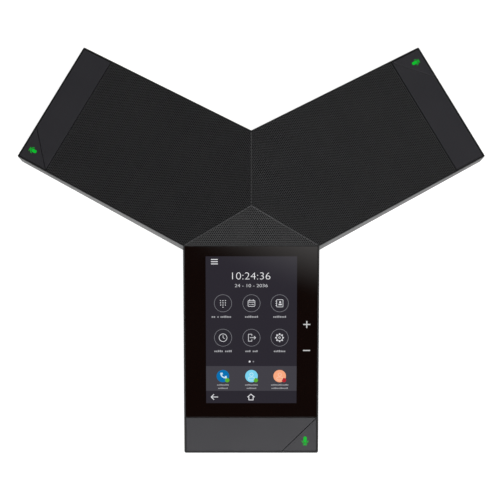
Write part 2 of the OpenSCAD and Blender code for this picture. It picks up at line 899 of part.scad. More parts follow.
module display_tray() {
  length = tray_to - tray_from;
  color("silver") on_arm(front) on_deck(deck_t + tray_t) difference() {
    union() {
      translate([tray_from, -tray_half, 0]) cube([length, 2 * tray_half, tray_t]);
      for (s = both_sides)
        translate([tray_from + length / 4, s * (tray_half - tray_t / 2) - tray_t / 2, -tray_fold])
          cube([length / 2, tray_t, tray_fold + tray_t / 2]);
    }
    for (k = [0 : 2]) translate([tray_window_x + k * tray_window_pitch, -tray_window[1] / 2, -past])
      cube([tray_window[0], tray_window[1], tray_t + 2 * past]);
    translate([0, 0, -past]) at_display_screws()
      cylinder(r = small_screw_r + hole_relief, h = tray_t + 2 * past);
    boss_notches();
  }
}

// Room for the tip screws' bosses at the corners of the tray, in deck coordinates
module boss_notches() {
  translate([0, 0, deck_t + tray_t]) rotate([0, -deck_tilt, 0]) translate([0, 0, -apex_height])
    for (p = tip_screws) translate(p) cylinder(r = boss_r + post_clear, h = 2 * apex_height);
}

module display_screws() {
  color("silver") on_arm(front) on_deck(deck_t + tray_t) at_display_screws()
    screw(small_screw_r, tray_t + small_screw_bite, small_head_r, small_head_h);
}

// Ribbon from the LCD's back, through a tray window, down to its connector on the main board
module display_flex() {
  far_x = flex_x + flex_t;
  low = board_top + connector_h;
  color("orange") on_arm(front) translate([0, flex_width / 2, 0]) rotate([90, 0, 0])
    linear_extrude(flex_width)
      polygon([
        [flex_x, deck_z(flex_x, deck_t)], [far_x, deck_z(far_x, deck_t)], [far_x, low], [flex_x, low]
      ]);
}

module flex_connector() {
  color("ivory") on_arm(front) translate([flex_x - connector_l / 2, -flex_width / 2 - 1, board_top])
    cube([connector_l, flex_width + 2, connector_h]);
}

// ---- Main board ----

module main_board() {
  color("darkgreen") on_arm(front) translate([0, 0, board_z]) difference() {
    translate([board_from_x, -board_half, 0]) cube([board_to_x - board_from_x, 2 * board_half, board_t]);
    translate([chamber_pillars[0][1], 0, -past])
      cylinder(r = pillar_r + post_clear, h = board_t + 2 * past);
    translate([0, 0, -past]) for (p = board_screw_spots) translate(p)
      cylinder(r = board_screw_r + hole_relief, h = board_t + 2 * past);
  }
}

module board_screws() {
  color("silver") at_board_screws() translate([0, 0, board_top]) mirror([0, 0, 1])
    screw(board_screw_r, board_top - floor_top, board_screw_head_r, board_screw_head_h);
}

// Thin can, drawn open towards the board, with its near corner at a place on the board
module shield_can(x, y, size) {
  can_t = 0.3;
  on_arm(front) translate([x, y, board_top]) difference() {
    cube(size);
    translate([can_t, can_t, -can_t]) cube([size[0] - 2 * can_t, size[1] - 2 * can_t, size[2]]);
  }
}

// The processor's can takes the room that the radio's can and the transformer leave
module processor_shield() {
  from_y = max(lan_x + transformer[1] / 2, radio_y + radio_can[1]) + can_gap;
  to_y = board_half - processor_edge_room;
  color("silver") shield_can(processor_x, from_y, [processor_can[0], to_y - from_y, processor_can[1]]);
}

module radio_shield() { color("silver") shield_can(radio_x, radio_y, radio_can); }

module network_transformer() {
  color("black") on_arm(front) translate([3, lan_x - transformer[1] / 2, board_top]) cube(transformer);
}

// The mouth has a step above it for the plug's latch
module lan_jack() {
  color("silver") at_socket(lan_x, lan_size) difference() {
    cube(lan_size);
    translate([(lan_size[0] - lan_mouth[0]) / 2, lan_size[1] - lan_mouth[1], lan_mouth_z])
      cube([lan_mouth[0], lan_mouth[1] + past, lan_mouth[2]]);
    translate([(lan_size[0] - lan_latch[0]) / 2, lan_size[1] - lan_mouth[1], lan_mouth_z])
      cube([lan_latch[0], lan_mouth[1] + past, lan_mouth[2] + lan_latch[1]]);
  }
}

module usb_socket() {
  color("silver") at_socket(usb_x, usb_size) {
    difference() {
      cube(usb_size);
      translate([usb_skin, usb_back, usb_skin])
        cube([usb_size[0] - 2 * usb_skin, usb_size[1], usb_size[2] - 2 * usb_skin]);
    }
    translate([usb_tongue_side, usb_back - usb_skin, usb_size[2] / 2 + 0.3])
      cube([usb_size[0] - 2 * usb_tongue_side, usb_size[1] - usb_back - usb_skin, usb_tongue_t]);
  }
}

module service_socket() {
  skin = 0.35;
  back = 1;
  tongue = [5.2, service_size[1] - back - skin, 0.7];
  color("silver") at_socket(service_x, service_size) {
    difference() {
      cube(service_size);
      translate([skin, back, skin])
        cube([service_size[0] - 2 * skin, service_size[1], service_size[2] - 2 * skin]);
    }
    translate([(service_size[0] - tongue[0]) / 2, back - skin, (service_size[2] - tongue[2]) / 2])
      cube(tongue);
  }
}

// ---- Speaker ----

module lobes(grow, low, high) {
  on_arms(rear_arms) translate([0, -lobe_width / 2 - grow, low])
    cube([lobe_reach + grow, lobe_width + 2 * grow, high - low]);
}

module speaker_chamber() {
  rim_z = baffle_z - baffle_t;
  color("black") difference() {
    union() {
      at_centre() translate([0, 0, chamber_z]) cylinder(r = chamber_r, h = rim_z - chamber_z);
      lobes(0, chamber_z, lobe_z);
      for (p = chamber_pillars) on_arm(p[0])
        translate([p[1] + ear_screw_inset - ear_reach - ear_root, -ear_width / 2, chamber_z])
          cube([ear_reach + ear_root, ear_width, ear_t]);
    }
    at_centre() translate([0, 0, chamber_z + chamber_wall])
      cylinder(r = chamber_r - chamber_wall, h = rim_z);
    lobes(-chamber_wall, chamber_z + chamber_wall, lobe_z - chamber_wall);
    at_chamber_pillars() translate([0, 0, chamber_z - past])
      cylinder(r = screw_r + hole_relief, h = ear_t + 2 * past);
  }
}

module speaker_baffle() {
  lip_h = 1.5;
  lip_play = 0.1;
  color("black") at_centre() translate([0, 0, baffle_z - baffle_t]) difference() {
    union() {
      cylinder(r = chamber_r, h = baffle_t);
      translate([0, 0, -lip_h]) cylinder(r = chamber_r - chamber_wall - lip_play, h = lip_h + bite);
    }
    translate([0, 0, -lip_h - past]) cylinder(r = basket_r + basket_play, h = baffle_t + lip_h + 2 * past);
    on_screw_circle() translate([0, 0, baffle_t - speaker_screw_depth - hole_end])
      cylinder(r = speaker_screw_r + screw_play, h = baffle_t + past);
  }
}

module chamber_screws() {
  color("silver") at_chamber_pillars() translate([0, 0, chamber_z + ear_t]) mirror([0, 0, 1])
    screw(screw_r, ear_t + chamber_screw_bite, screw_head_r, screw_head_h);
}

module basket_seal() {
  color("black") at_centre() translate([0, 0, baffle_z]) difference() {
    cylinder(r = flange_r, h = seal_t);
    translate([0, 0, -past]) cylinder(r = basket_r + basket_play, h = seal_t + 2 * past);
    on_screw_circle() translate([0, 0, -past])
      cylinder(r = speaker_screw_r + hole_relief, h = seal_t + 2 * past);
  }
}

module at_flange() { at_centre() translate([0, 0, flange_z]) children(); }

module speaker_basket() {
  color("gray") at_flange() difference() {
    rotate_extrude() polygon([
      [basket_r - basket_t, flange_t], [flange_r, flange_t], [flange_r, 0], [basket_r, 0],
      [shelf_out_r, shelf_t - shelf_drop], [basket_low_r, heel_h - basket_drop],
      [basket_low_r, -basket_drop], [gap_r, -basket_drop], [gap_r, basket_t - basket_drop],
      [basket_low_r - heel_in, basket_t - basket_drop], [shelf_r, -shelf_t - shelf_drop],
      [shelf_r, -shelf_drop], [shelf_in_r, -shelf_drop], [basket_r - basket_t, -heel_in]
    ]);
    for (a = [0 : 90 : 270]) rotate([0, 0, a])
      translate([shelf_in_r + window_clear, -basket_window[1] / 2, 2 * shelf_t - shelf_drop])
        cube([basket_window[0], basket_window[1], shelf_drop - 2 * shelf_t - heel_h]);
    on_screw_circle() translate([0, 0, -past])
      cylinder(r = speaker_screw_r + hole_relief, h = flange_t + 2 * past);
  }
}

module speaker_screws() {
  color("silver") at_flange() on_screw_circle() translate([0, 0, flange_t]) mirror([0, 0, 1])
    screw(speaker_screw_r, flange_t + seal_t + speaker_screw_depth,
      speaker_screw_head_r, speaker_screw_head_h);
}

module ring(outer, inner, height) {
  difference() {
    cylinder(r = outer, h = height);
    translate([0, 0, -past]) cylinder(r = inner, h = height + 2 * past);
  }
}

module top_plate() {
  color("silver") at_flange() translate([0, 0, -basket_drop - plate_t]) ring(magnet_r, gap_r, plate_t);
}

module magnet_ring() {
  color("darkslategray") at_flange() translate([0, 0, -basket_drop - plate_t - magnet_t])
    ring(magnet_r, gap_r + 2, magnet_t);
}

module magnet_yoke() {
  stack = plate_t + magnet_t + yoke_t;
  color("silver") at_flange() translate([0, 0, -basket_drop - stack]) {
    cylinder(r = magnet_r, h = yoke_t);
    cylinder(r = pole_r, h = stack);
  }
}

module voice_coil() {
  color("peru") at_flange() {
    translate([0, 0, -basket_drop - plate_t - coil_overhang]) {
      ring(former_r, coil_in_r, basket_drop + plate_t + coil_overhang + cone_low + cone_t + 1);
      ring(former_r + coil_t, former_r, plate_t + 2 * coil_overhang);
    }
  }
}

function cone_z(r) = cone_low + (r - former_r) * (cone_high - cone_t - cone_low) / (cone_r - former_r);

module speaker_cone() {
  color([0.1, 0.1, 0.11]) at_flange() rotate_extrude() polygon([
    [former_r, cone_low], [former_r, cone_low + cone_t],
    [cone_r, cone_high], [cone_r, cone_high - cone_t]
  ]);
}

module dust_cap() {
  rise = sqrt(dust_cap_sphere * dust_cap_sphere - dust_cap_r * dust_cap_r);
  base = cone_z(dust_cap_r) + cone_t;
  color("black") at_flange() translate([0, 0, base]) rotate_extrude() intersection() {
    translate([0, -rise]) difference() {
      circle(dust_cap_sphere);
      circle(dust_cap_sphere - 0.5);
    }
    square([dust_cap_r, dust_cap_sphere]);
  }
}

module cone_surround() {
  color("black") at_flange() translate([0, 0, flange_t]) rotate_extrude() {
    translate([cone_r - 1.3, 0]) square([1.5, surround_t]);
    translate([surround_r + surround_roll - 0.3, 0]) square([1.8, surround_t]);
    translate([surround_r, 0]) intersection() {
      difference() {
        circle(surround_roll);
        circle(surround_roll - surround_t);
      }
      translate([-5, 0]) square([10, 5]);
    }
  }
}

module spider() {
  t = 0.4;
  wave = 1;
  inner = former_r;
  outer = shelf_r + 2.2;
  folds = 4;
  step = (shelf_r - 1 - inner - 2) / (2 * folds);
  low = [for (k = [0 : 2 * folds]) [inner + 2 + k * step, (k % 2) * wave]];
  high = [for (k = [2 * folds : -1 : 0]) [inner + 2 + k * step, (k % 2) * wave + t]];
  color("goldenrod") at_flange() translate([0, 0, -shelf_drop]) rotate_extrude()
    polygon(concat([[inner, 0]], low, [[outer, 0], [outer, t]], high, [[inner, t]]));
}

// Foam ring between the flange and the underside of the top housing
module grille_seal() {
  color([0.15, 0.15, 0.15]) intersection() {
    at_flange() translate([0, 0, flange_t + surround_t])
      ring(seal_out_r, surround_r + surround_roll + roll_play, apex_height - flange_z);
    below_decks(deck_t);
  }
}

// ---- Small inner pieces ----

module microphones() {
  color("silver") at_microphones() translate([0, 0, -boot_face - mic_h]) cylinder(r = mic_r, h = mic_h);
}

module microphone_boots() {
  color([0.15, 0.15, 0.15]) at_microphones() difference() {
    translate([0, 0, -boot_h]) cylinder(r = mic_r + boot_wall, h = boot_h);
    translate([0, 0, -boot_h - past]) cylinder(r = mic_r + mic_play, h = boot_h - boot_face + past);
    translate([0, 0, -boot_h]) cylinder(r = mic_port_r, h = boot_h + past);
  }
}

module wifi_antennas() {
  color("gold") on_arms(rear_arms) on_deck(deck_t + antenna[2])
    translate([along(mid_screw_x) + antenna_from[0], antenna_from[1], 0]) cube(antenna);
}

module housing_screws() {
  color("silver") at_housing_screws() translate([0, 0, tower_z - screw_seat])
    screw(screw_r, screw_seat + screw_bite, screw_head_r, screw_head_h);
}

module rubber_feet() {
  color([0.1, 0.1, 0.1]) on_arms(arms) linear_extrude(floor_z + foot_sink) foot_outline(-foot_play);
}

base_housing();
top_housing();
speaker_grille();
acoustic_cloth();
end_cap_front();
end_cap_right();
end_cap_left();
mute_key_front();
mute_key_right();
mute_key_left();
mute_light_front();
mute_light_right();
mute_light_left();
switch_plunger_front();
switch_plunger_right();
switch_plunger_left();
key_switches();
key_boards();
key_leds();
key_board_screws();
display_glass();
lcd_panel();
display_tray();
display_screws();
display_flex();
flex_connector();
main_board();
board_screws();
processor_shield();
radio_shield();
network_transformer();
lan_jack();
usb_socket();
service_socket();
speaker_chamber();
speaker_baffle();
chamber_screws();
basket_seal();
speaker_basket();
speaker_screws();
top_plate();
magnet_ring();
magnet_yoke();
voice_coil();
speaker_cone();
dust_cap();
cone_surround();
spider();
grille_seal();
microphones();
microphone_boots();
wifi_antennas();
housing_screws();
rubber_feet();
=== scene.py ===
import json
import math

import bmesh
import bpy
from mathutils import Matrix, Vector


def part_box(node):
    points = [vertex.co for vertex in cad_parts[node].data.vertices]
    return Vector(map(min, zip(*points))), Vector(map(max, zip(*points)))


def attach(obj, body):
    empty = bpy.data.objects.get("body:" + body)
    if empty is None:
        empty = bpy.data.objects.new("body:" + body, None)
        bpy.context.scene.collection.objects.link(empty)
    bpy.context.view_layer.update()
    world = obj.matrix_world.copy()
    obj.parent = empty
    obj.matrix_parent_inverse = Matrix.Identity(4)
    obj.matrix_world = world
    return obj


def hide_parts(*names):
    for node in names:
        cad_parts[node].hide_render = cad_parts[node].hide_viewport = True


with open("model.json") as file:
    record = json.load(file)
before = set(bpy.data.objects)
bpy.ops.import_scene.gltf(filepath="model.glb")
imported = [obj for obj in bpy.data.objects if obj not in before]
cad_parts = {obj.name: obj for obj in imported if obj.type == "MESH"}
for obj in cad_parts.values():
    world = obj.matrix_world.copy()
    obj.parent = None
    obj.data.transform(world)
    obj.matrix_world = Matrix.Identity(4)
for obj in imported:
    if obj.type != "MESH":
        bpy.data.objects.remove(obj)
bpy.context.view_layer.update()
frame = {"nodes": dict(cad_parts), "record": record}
nodes = frame["nodes"]
scene = bpy.context.scene
mm = 0.001
mmPerMetre = 1000  # divided by a pattern's size in mm, this is its scale
print("frame loaded")

# Sizes the pieces share, in mm. A deck frame has x down the slope from the apex,
# y to the left of someone looking outwards along the arm, and z out of the deck.
phone = {
    "deckTilt": math.radians(15),
    "armAngles": {"front": -90, "right": 30, "left": 150},
    "armHalf": 53.5,
    "rim": 1.2,
    "seam": 0.4,
    "capStart": 164.0,
}
coneLow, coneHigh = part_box("speaker_cone")
apex = Vector((0, (coneLow[1] + coneHigh[1]) / 2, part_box("speaker_grille")[1][2]))


def deckPlace(arm):
    turn = Matrix.Rotation(math.radians(phone["armAngles"][arm]), 4, "Z")
    tilt = Matrix.Rotation(phone["deckTilt"], 4, "Y")
    return Matrix.Translation(apex) @ turn @ tilt @ Matrix.Scale(mm, 4)


# Reading frame of the display: x to the right, y up the screen
readingPlace = deckPlace("front") @ Matrix.Rotation(math.pi / 2, 4, "Z")

camera = {
    "place": (-0.00099, -0.14317, 1.08179),
    "tilt": math.radians(7.513),
    "lens": 94.22,
    "sensor": 36,
}
cameraData = bpy.data.cameras.new("camera")
cameraData.lens = camera["lens"]
cameraData.sensor_width = camera["sensor"]
cameraObject = bpy.data.objects.new("camera", cameraData)
cameraObject.location = camera["place"]
cameraObject.rotation_euler = (camera["tilt"], 0, 0)
scene.collection.objects.link(cameraObject)
scene.camera = cameraObject


# A hex colour with the sRGB curve undone
def linear(hexColour):
    channels = [int(hexColour[i:i + 2], 16) / 255 for i in (0, 2, 4)]
    return [c / 12.92 if c <= 0.04045 else ((c + 0.055) / 1.055) ** 2.4 for c in channels] + [1.0]


def addNode(tree, kind, settings=None, links=None, **options):
    node = tree.nodes.new(kind)
    for name, value in options.items():
        setattr(node, name, value)
    for socket, value in (settings or {}).items():
        node.inputs[socket].default_value = value
    for socket, source in (links or {}).items():
        tree.links.new(source, node.inputs[socket])
    return node


def startMaterial(name, colour, roughness, **sockets):
    material = bpy.data.materials.new(name)
    material.use_nodes = True
    tree = material.node_tree
    shader = tree.nodes["Principled BSDF"]
    shader.inputs["Base Color"].default_value = linear(colour)
    shader.inputs["Roughness"].default_value = roughness
    for socket, value in sockets.items():
        shader.inputs[socket.replace("_", " ")].default_value = value
    place = addNode(tree, "ShaderNodeTexCoord").outputs["Object"]
    return material, tree, shader, place


# Noise keeps near its middle, so these bands of it are stretched over the tones and roughness
wander = {"tintBand": (0.36, 0.64), "driftBand": (0.35, 0.65)}


# Colour that wanders between two tones, and roughness that drifts as the mould and hands leave it
def tintAndDrift(tree, shader, place, colours, tintMm, roughness, driftMm):
    tint = addNode(tree, "ShaderNodeTexNoise", {"Scale": mmPerMetre / tintMm, "Detail": 2.0},
                   {"Vector": place})
    tones = addNode(tree, "ShaderNodeValToRGB", {}, {"Fac": tint.outputs["Fac"]})
    for stop, at, colour in zip(tones.color_ramp.elements, wander["tintBand"], colours):
        stop.position = at
        stop.color = linear(colour)
    tree.links.new(tones.outputs["Color"], shader.inputs["Base Color"])
    drift = addNode(tree, "ShaderNodeTexNoise", {"Scale": mmPerMetre / driftMm, "Detail": 3.0},
                    {"Vector": place})
    band = addNode(tree, "ShaderNodeMapRange",
                   {"From Min": wander["driftBand"][0], "From Max": wander["driftBand"][1],
                    "To Min": roughness[0], "To Max": roughness[1]},
                   {"Value": drift.outputs["Fac"]})
    tree.links.new(band.outputs["Result"], shader.inputs["Roughness"])


# Injection-moulded plastic: the spark-eroded mould leaves an even grain that breaks up the shine
def mouldedPlastic(name, colours, roughness, grainMm, grainHeight):
    material, tree, shader, place = startMaterial(name, colours[0], roughness[0], IOR=1.5)
    tintAndDrift(tree, shader, place, colours, grainMm * 3, roughness, driftMm=24)
    grain = addNode(tree, "ShaderNodeTexNoise", {"Scale": mmPerMetre / grainMm, "Detail": 2.0},
                    {"Vector": place})
    bump = addNode(tree, "ShaderNodeBump", {"Strength": 0.5, "Distance": grainHeight * mm},
                   {"Height": grain.outputs["Fac"]})
    tree.links.new(bump.outputs["Normal"], shader.inputs["Normal"])
    return material


# Rolled metal with a thin plating: long faint streaks under a soft shine
def platedMetal(name, colours, roughness, streakMm):
    stretch = 14.0
    material, tree, shader, place = startMaterial(name, colours[0], roughness[0], Metallic=1.0)
    tintAndDrift(tree, shader, place, colours, 9, roughness, driftMm=6)
    drawn = addNode(tree, "ShaderNodeMapping", {"Scale": (1.0, stretch, stretch)},
                    {"Vector": place})
    streaks = addNode(tree, "ShaderNodeTexNoise",
                      {"Scale": mmPerMetre / (streakMm * stretch), "Detail": 4.0},
                      {"Vector": drawn.outputs["Vector"]})
    bump = addNode(tree, "ShaderNodeBump", {"Strength": 0.25, "Distance": 0.01 * mm},
                   {"Height": streaks.outputs["Fac"]})
    tree.links.new(bump.outputs["Normal"], shader.inputs["Normal"])
    return material


# Pressed rubber and foam: dull, with the fine pits of the press
def pressedRubber(name, colours, roughness, pitMm):
    material, tree, shader, place = startMaterial(name, colours[0], roughness, IOR=1.52)
    tintAndDrift(tree, shader, place, colours, pitMm * 4, (roughness, roughness - 0.06), driftMm=12)
    pits = addNode(tree, "ShaderNodeTexVoronoi", {"Scale": mmPerMetre / pitMm}, {"Vector": place})
    bump = addNode(tree, "ShaderNodeBump", {"Strength": 0.4, "Distance": 0.03 * mm},
                   {"Height": pits.outputs["Distance"]})
    tree.links.new(bump.outputs["Normal"], shader.inputs["Normal"])
    return material


# Plain-woven cloth: two sets of crossing threads at their real spacing
def wovenCloth(name, colours, threadMm):
    waveMm = 314  # one wave at a scale of 1
    material, tree, shader, place = startMaterial(name, colours[0], 0.85, Specular_IOR_Level=0.2)
    tintAndDrift(tree, shader, place, colours, 2.5, (0.8, 0.9), driftMm=8)
    threads = [addNode(tree, "ShaderNodeTexWave", {"Scale": waveMm / threadMm}, {"Vector": place},
                       bands_direction=direction) for direction in ("X", "Y")]
    weave = addNode(tree, "ShaderNodeMath", {},
                    {0: threads[0].outputs["Fac"], 1: threads[1].outputs["Fac"]},
                    operation="MAXIMUM")
    bump = addNode(tree, "ShaderNodeBump", {"Strength": 0.6, "Distance": 0.05 * mm},
                   {"Height": weave.outputs["Value"]})
    tree.links.new(bump.outputs["Normal"], shader.inputs["Normal"])
    return material


# Powder coat baked onto sheet steel: satin black with a slight orange peel
def powderCoat(name, colours, roughness):
    peelMm = 0.7
    material, tree, shader, place = startMaterial(name, colours[0], roughness[0], IOR=1.75)
    tintAndDrift(tree, shader, place, colours, 2.2, roughness, driftMm=30)
    peel = addNode(tree, "ShaderNodeTexNoise", {"Scale": mmPerMetre / peelMm, "Detail": 3.0},
                   {"Vector": place})
    bump = addNode(tree, "ShaderNodeBump", {"Strength": 0.35, "Distance": 0.02 * mm},
                   {"Height": peel.outputs["Fac"]})
    tree.links.new(bump.outputs["Normal"], shader.inputs["Normal"])
    return material


# Float glass printed black on its back: an even warm black under a polished face
def printedGlass(name, colours):
    material, tree, shader, place = startMaterial(name, colours[0], 0.05, IOR=1.5)
    tintAndDrift(tree, shader, place, colours, 60, (0.03, 0.05), driftMm=40)
    return material


# A lit patch of the display under the same polished face, with its pixel grid just showing
def litPixels(name, colour):
    pixelMm, dimmed = 0.3, 0.97
    material, tree, shader, place = startMaterial(name, "050505", 0.04, IOR=1.5,
                                                  Emission_Strength=1.0)
    glow = linear(colour)
    grid = addNode(tree, "ShaderNodeTexChecker",
                   {"Scale": mmPerMetre / pixelMm, "Color1": glow,
                    "Color2": [c * dimmed for c in glow[:3]] + [1.0]},
                   {"Vector": place})
    tree.links.new(grid.outputs["Color"], shader.inputs["Emission Color"])
    return material


# Acrylic light guide, frosted at its end and lit from below
def litAcrylic(name, colours, strength):
    frostMm = 0.6
    material, tree, shader, place = startMaterial(name, "021c06", 0.5, IOR=1.49,
                                                  Emission_Strength=strength,
                                                  Specular_IOR_Level=0.15)
    frost = addNode(tree, "ShaderNodeTexNoise", {"Scale": mmPerMetre / frostMm, "Detail": 2.0},
                    {"Vector": place})
    glow = addNode(tree, "ShaderNodeValToRGB", {}, {"Fac": frost.outputs["Fac"]})
    for stop, colour in zip(glow.color_ramp.elements, colours):
        stop.color = linear(colour)
    tree.links.new(glow.outputs["Color"], shader.inputs["Emission Color"])
    return material


# Glass-fibre board under green solder mask, its copper tracks faintly raised
def solderMask(name):
    trackMm = 6
    material, tree, shader, place = startMaterial(name, "0c3a1e", 0.35, IOR=1.5)
    tracks = addNode(tree, "ShaderNodeTexBrick",
                     {"Scale": mmPerMetre / trackMm, "Mortar Size": 0.04,
                      "Color1": linear("0c3a1e"), "Color2": linear("0e4122"),
                      "Mortar": linear("15552e")}, {"Vector": place})
    tree.links.new(tracks.outputs["Color"], shader.inputs["Base Color"])
    bump = addNode(tree, "ShaderNodeBump", {"Strength": 0.3, "Distance": 0.03 * mm},
                   {"Height": tracks.outputs["Fac"]})
    tree.links.new(bump.outputs["Normal"], shader.inputs["Normal"])
    return material


# Paper pulp pressed into a cone: matt, with short fibres that catch the light
def pressedPulp(name, colours):
    fibreMm = 0.5
    material, tree, shader, place = startMaterial(name, colours[0], 0.8, IOR=1.45)
    tintAndDrift(tree, shader, place, colours, 0.8, (0.75, 0.85), driftMm=5)
    fibres = addNode(tree, "ShaderNodeTexNoise",
                     {"Scale": mmPerMetre / fibreMm, "Detail": 5.0, "Distortion": 1.2},
                     {"Vector": place})
    bump = addNode(tree, "ShaderNodeBump", {"Strength": 0.5, "Distance": 0.05 * mm},
                   {"Height": fibres.outputs["Fac"]})
    tree.links.new(bump.outputs["Normal"], shader.inputs["Normal"])
    return material


# Two tones, the roughness from and to, then the pattern's size and a plastic's grain height in mm
finishes = {
    "housing_plastic": mouldedPlastic("sparkErodedAbs", ("0f0f10", "131314"), (0.42, 0.5), 0.45,
                                      0.01),
    "cap_plastic": mouldedPlastic("satinAbs", ("2a292e", "2c2b30"), (0.38, 0.44), 0.3, 0.006),
    "grille_steel": powderCoat("powderCoatedSteel", ("252527", "2a2a2c"), (0.46, 0.54)),
    "acoustic_cloth": wovenCloth("wovenPolyester", ("030303", "060606"), 0.4),
    "cover_glass": printedGlass("backPrintedGlass", ("0d0301", "0e0402")),
    "light_guide": litAcrylic("frostedAcrylic", ("00a826", "00d632"), 0.9),
    "switch_button": mouldedPlastic("switchNylon", ("141414", "181818"), (0.45, 0.55), 0.4, 0.01),
    "plated_metal": platedMetal("zincPlate", ("b4b7ba", "c2c4c6"), (0.3, 0.4), 0.5),
    "circuit_board": solderMask("greenSolderMask"),
    "led_resin": mouldedPlastic("castEpoxy", ("e6e4c8", "f0eed6"), (0.15, 0.22), 0.5, 0.002),
    "screw_steel": platedMetal("nickelledSteel", ("9a9c9f", "a8aaad"), (0.28, 0.38), 0.3),
    "lcd_surface": mouldedPlastic("darkPolariser", ("202024", "242428"), (0.18, 0.24), 0.5, 0.001),
    "flex_film": mouldedPlastic("amberPolyimide", ("a8621a", "b46c20"), (0.3, 0.38), 0.6, 0.002),
    "connector_plastic": mouldedPlastic("ivoryNylon", ("d8d0b4", "ded6bc"), (0.4, 0.5), 0.4, 0.006),
    "tin_plate": platedMetal("tinPlate", ("c4c4c0", "d0d0cc"), (0.22, 0.32), 0.5),
    "black_resin": mouldedPlastic("pottingResin", ("161617", "1a1a1b"), (0.3, 0.42), 0.8, 0.01),
    "jack_shell": platedMetal("nickelPlate", ("aeb0b2", "bcbec0"), (0.2, 0.3), 0.5),
    "inner_plastic": mouldedPlastic("glassFilledAbs", ("171718", "1c1c1d"), (0.5, 0.6), 0.6, 0.02),
    "foam": pressedRubber("closedCellFoam", ("1e1e1f", "262627"), 0.95, 0.5),
    "basket_steel": powderCoat("electrocoatedSteel", ("2c2c2e", "303032"), (0.4, 0.5)),
    "ferrite": pressedRubber("sinteredFerrite", ("3a3a3d", "434346"), 0.6, 0.7),
    "coil_copper": platedMetal("enamelledCopper", ("b06a3c", "bd764a"), (0.25, 0.35), 0.2),
    "cone_paper": pressedPulp("blackPulp", ("161617", "1d1d1e")),
    "surround_rubber": pressedRubber("butylRubber", ("141414", "191919"), 0.6, 0.4),
    "spider_cloth": wovenCloth("resinedCotton", ("a88546", "b79453"), 0.6),
    "microphone_can": platedMetal("drawnAluminium", ("b8babc", "c6c8ca"), (0.25, 0.35), 0.2),
    "boot_rubber": pressedRubber("siliconeRubber", ("181818", "1d1d1d"), 0.7, 0.4),
    "antenna_film": platedMetal("etchedBrass", ("b8953f", "c4a24c"), (0.3, 0.4), 0.3),
    "foot_rubber": pressedRubber("nonSlipRubber", ("121212", "171717"), 0.8, 0.6),
}
for subpart in frame["record"]["subparts"]:
    for holder in nodes[subpart["node"]].material_slots:
        holder.material = finishes[subpart["material_slot"]]
print("materials made:", len(finishes))


def makePiece(name, bm, finish, body="root", replaces=()):
    mesh = bpy.data.meshes.new(name)
    bm.to_mesh(mesh)
    bm.free()
    mesh.materials.append(finish)
    piece = bpy.data.objects.new(name, mesh)
    scene.collection.objects.link(piece)
    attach(piece, body)
    if replaces:
        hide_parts(*replaces)


def everything(bm):
    return bm.verts[:] + bm.edges[:] + bm.faces[:]


# Gives flat faces a thickness below them, so that their tops stay where they are
def thicken(bm, thickness):
    bm.normal_update()
    bmesh.ops.reverse_faces(bm, faces=[face for face in bm.faces if face.normal.z < 0])
    bmesh.ops.solidify(bm, geom=bm.faces[:], thickness=thickness)


# The perforated sheet. It is punched flat, then cut and folded, so its holes run into every edge.
grille = {
    "pitch": 1.6,
    "hole": 1.2,
    "sheet": 0.8,
    "edgeGap": 0.3,
    "foldBand": 0.35,
    "foldSetback": 0.3,
    "foldSegments": 4,
    "columnDoublings": 7,
    "rowDoublings": {"front": 4, "right": 6, "left": 6},
    "weldParts": 50,  # corners nearer than the pitch over this are one
    "splitAt": 0.1,
    "blank": 200,
}
grilleHalf = phone["armHalf"] - phone["rim"] - phone["seam"] / 2
deckCos = math.cos(phone["deckTilt"])
notchEnd = (phone["armHalf"] / math.sqrt(3) - phone["seam"] / 2) / deckCos - grille["edgeGap"]
capEnd = (phone["capStart"] - phone["seam"] / 2) / deckCos - grille["edgeGap"]
foldAngle = math.atan(math.sqrt(3) * deckCos)
grilleEnds = {"front": notchEnd, "right": capEnd, "left": capEnd}


def keepInside(bm, point, direction):
    bmesh.ops.bisect_plane(bm, geom=everything(bm), dist=1e-5, plane_co=point, plane_no=direction,
                           clear_outer=True)


def foldNormal(side):
    return (-math.sin(foldAngle), side * math.cos(foldAngle), 0)


# Trims a flat sheet to one deck of the grille, its folded sides set back from the folds
def trimToDeck(bm, end, setback):
    keepInside(bm, (end, 0, 0), (1, 0, 0))
    for side in (-1, 1):
        keepInside(bm, (0, side * grilleHalf, 0), (0, side, 0))
        keepInside(bm, (setback / math.sin(foldAngle), 0, 0), foldNormal(side))


def repeatCells(bm, step, doublings):
    step = Vector(step)
    for _ in range(doublings):
        made = bmesh.ops.duplicate(bm, geom=everything(bm))
        fresh = [item for item in made["geom"] if isinstance(item, bmesh.types.BMVert)]
        bmesh.ops.translate(bm, verts=fresh, vec=step)
        step *= 2


def perforatedDeck(arm):
    pitch = grille["pitch"]
    row = pitch * math.sqrt(3) / 2
    bm = bmesh.new()
    bmesh.ops.create_circle(bm, cap_ends=True, segments=6, radius=pitch / math.sqrt(3),
                            matrix=Matrix.Rotation(math.pi / 2, 4, "Z"))
    repeatCells(bm, (row, pitch / 2, 0), 1)
    repeatCells(bm, (0, pitch, 0), grille["columnDoublings"])
    repeatCells(bm, (2 * row, 0, 0), grille["rowDoublings"][arm])
    halfColumns = 2 ** (grille["columnDoublings"] - 1)
    bmesh.ops.translate(bm, verts=bm.verts[:], vec=(0, -halfColumns * pitch, 0))
    bmesh.ops.remove_doubles(bm, verts=bm.verts[:], dist=pitch / grille["weldParts"])
    cells = bm.faces[:]
    bmesh.ops.inset_individual(bm, faces=cells, thickness=(pitch - grille["hole"]) / 2,
                               use_even_offset=True)
    bmesh.ops.delete(bm, geom=cells, context="FACES")
    trimToDeck(bm, grilleEnds[arm], grille["foldBand"])
    return bm


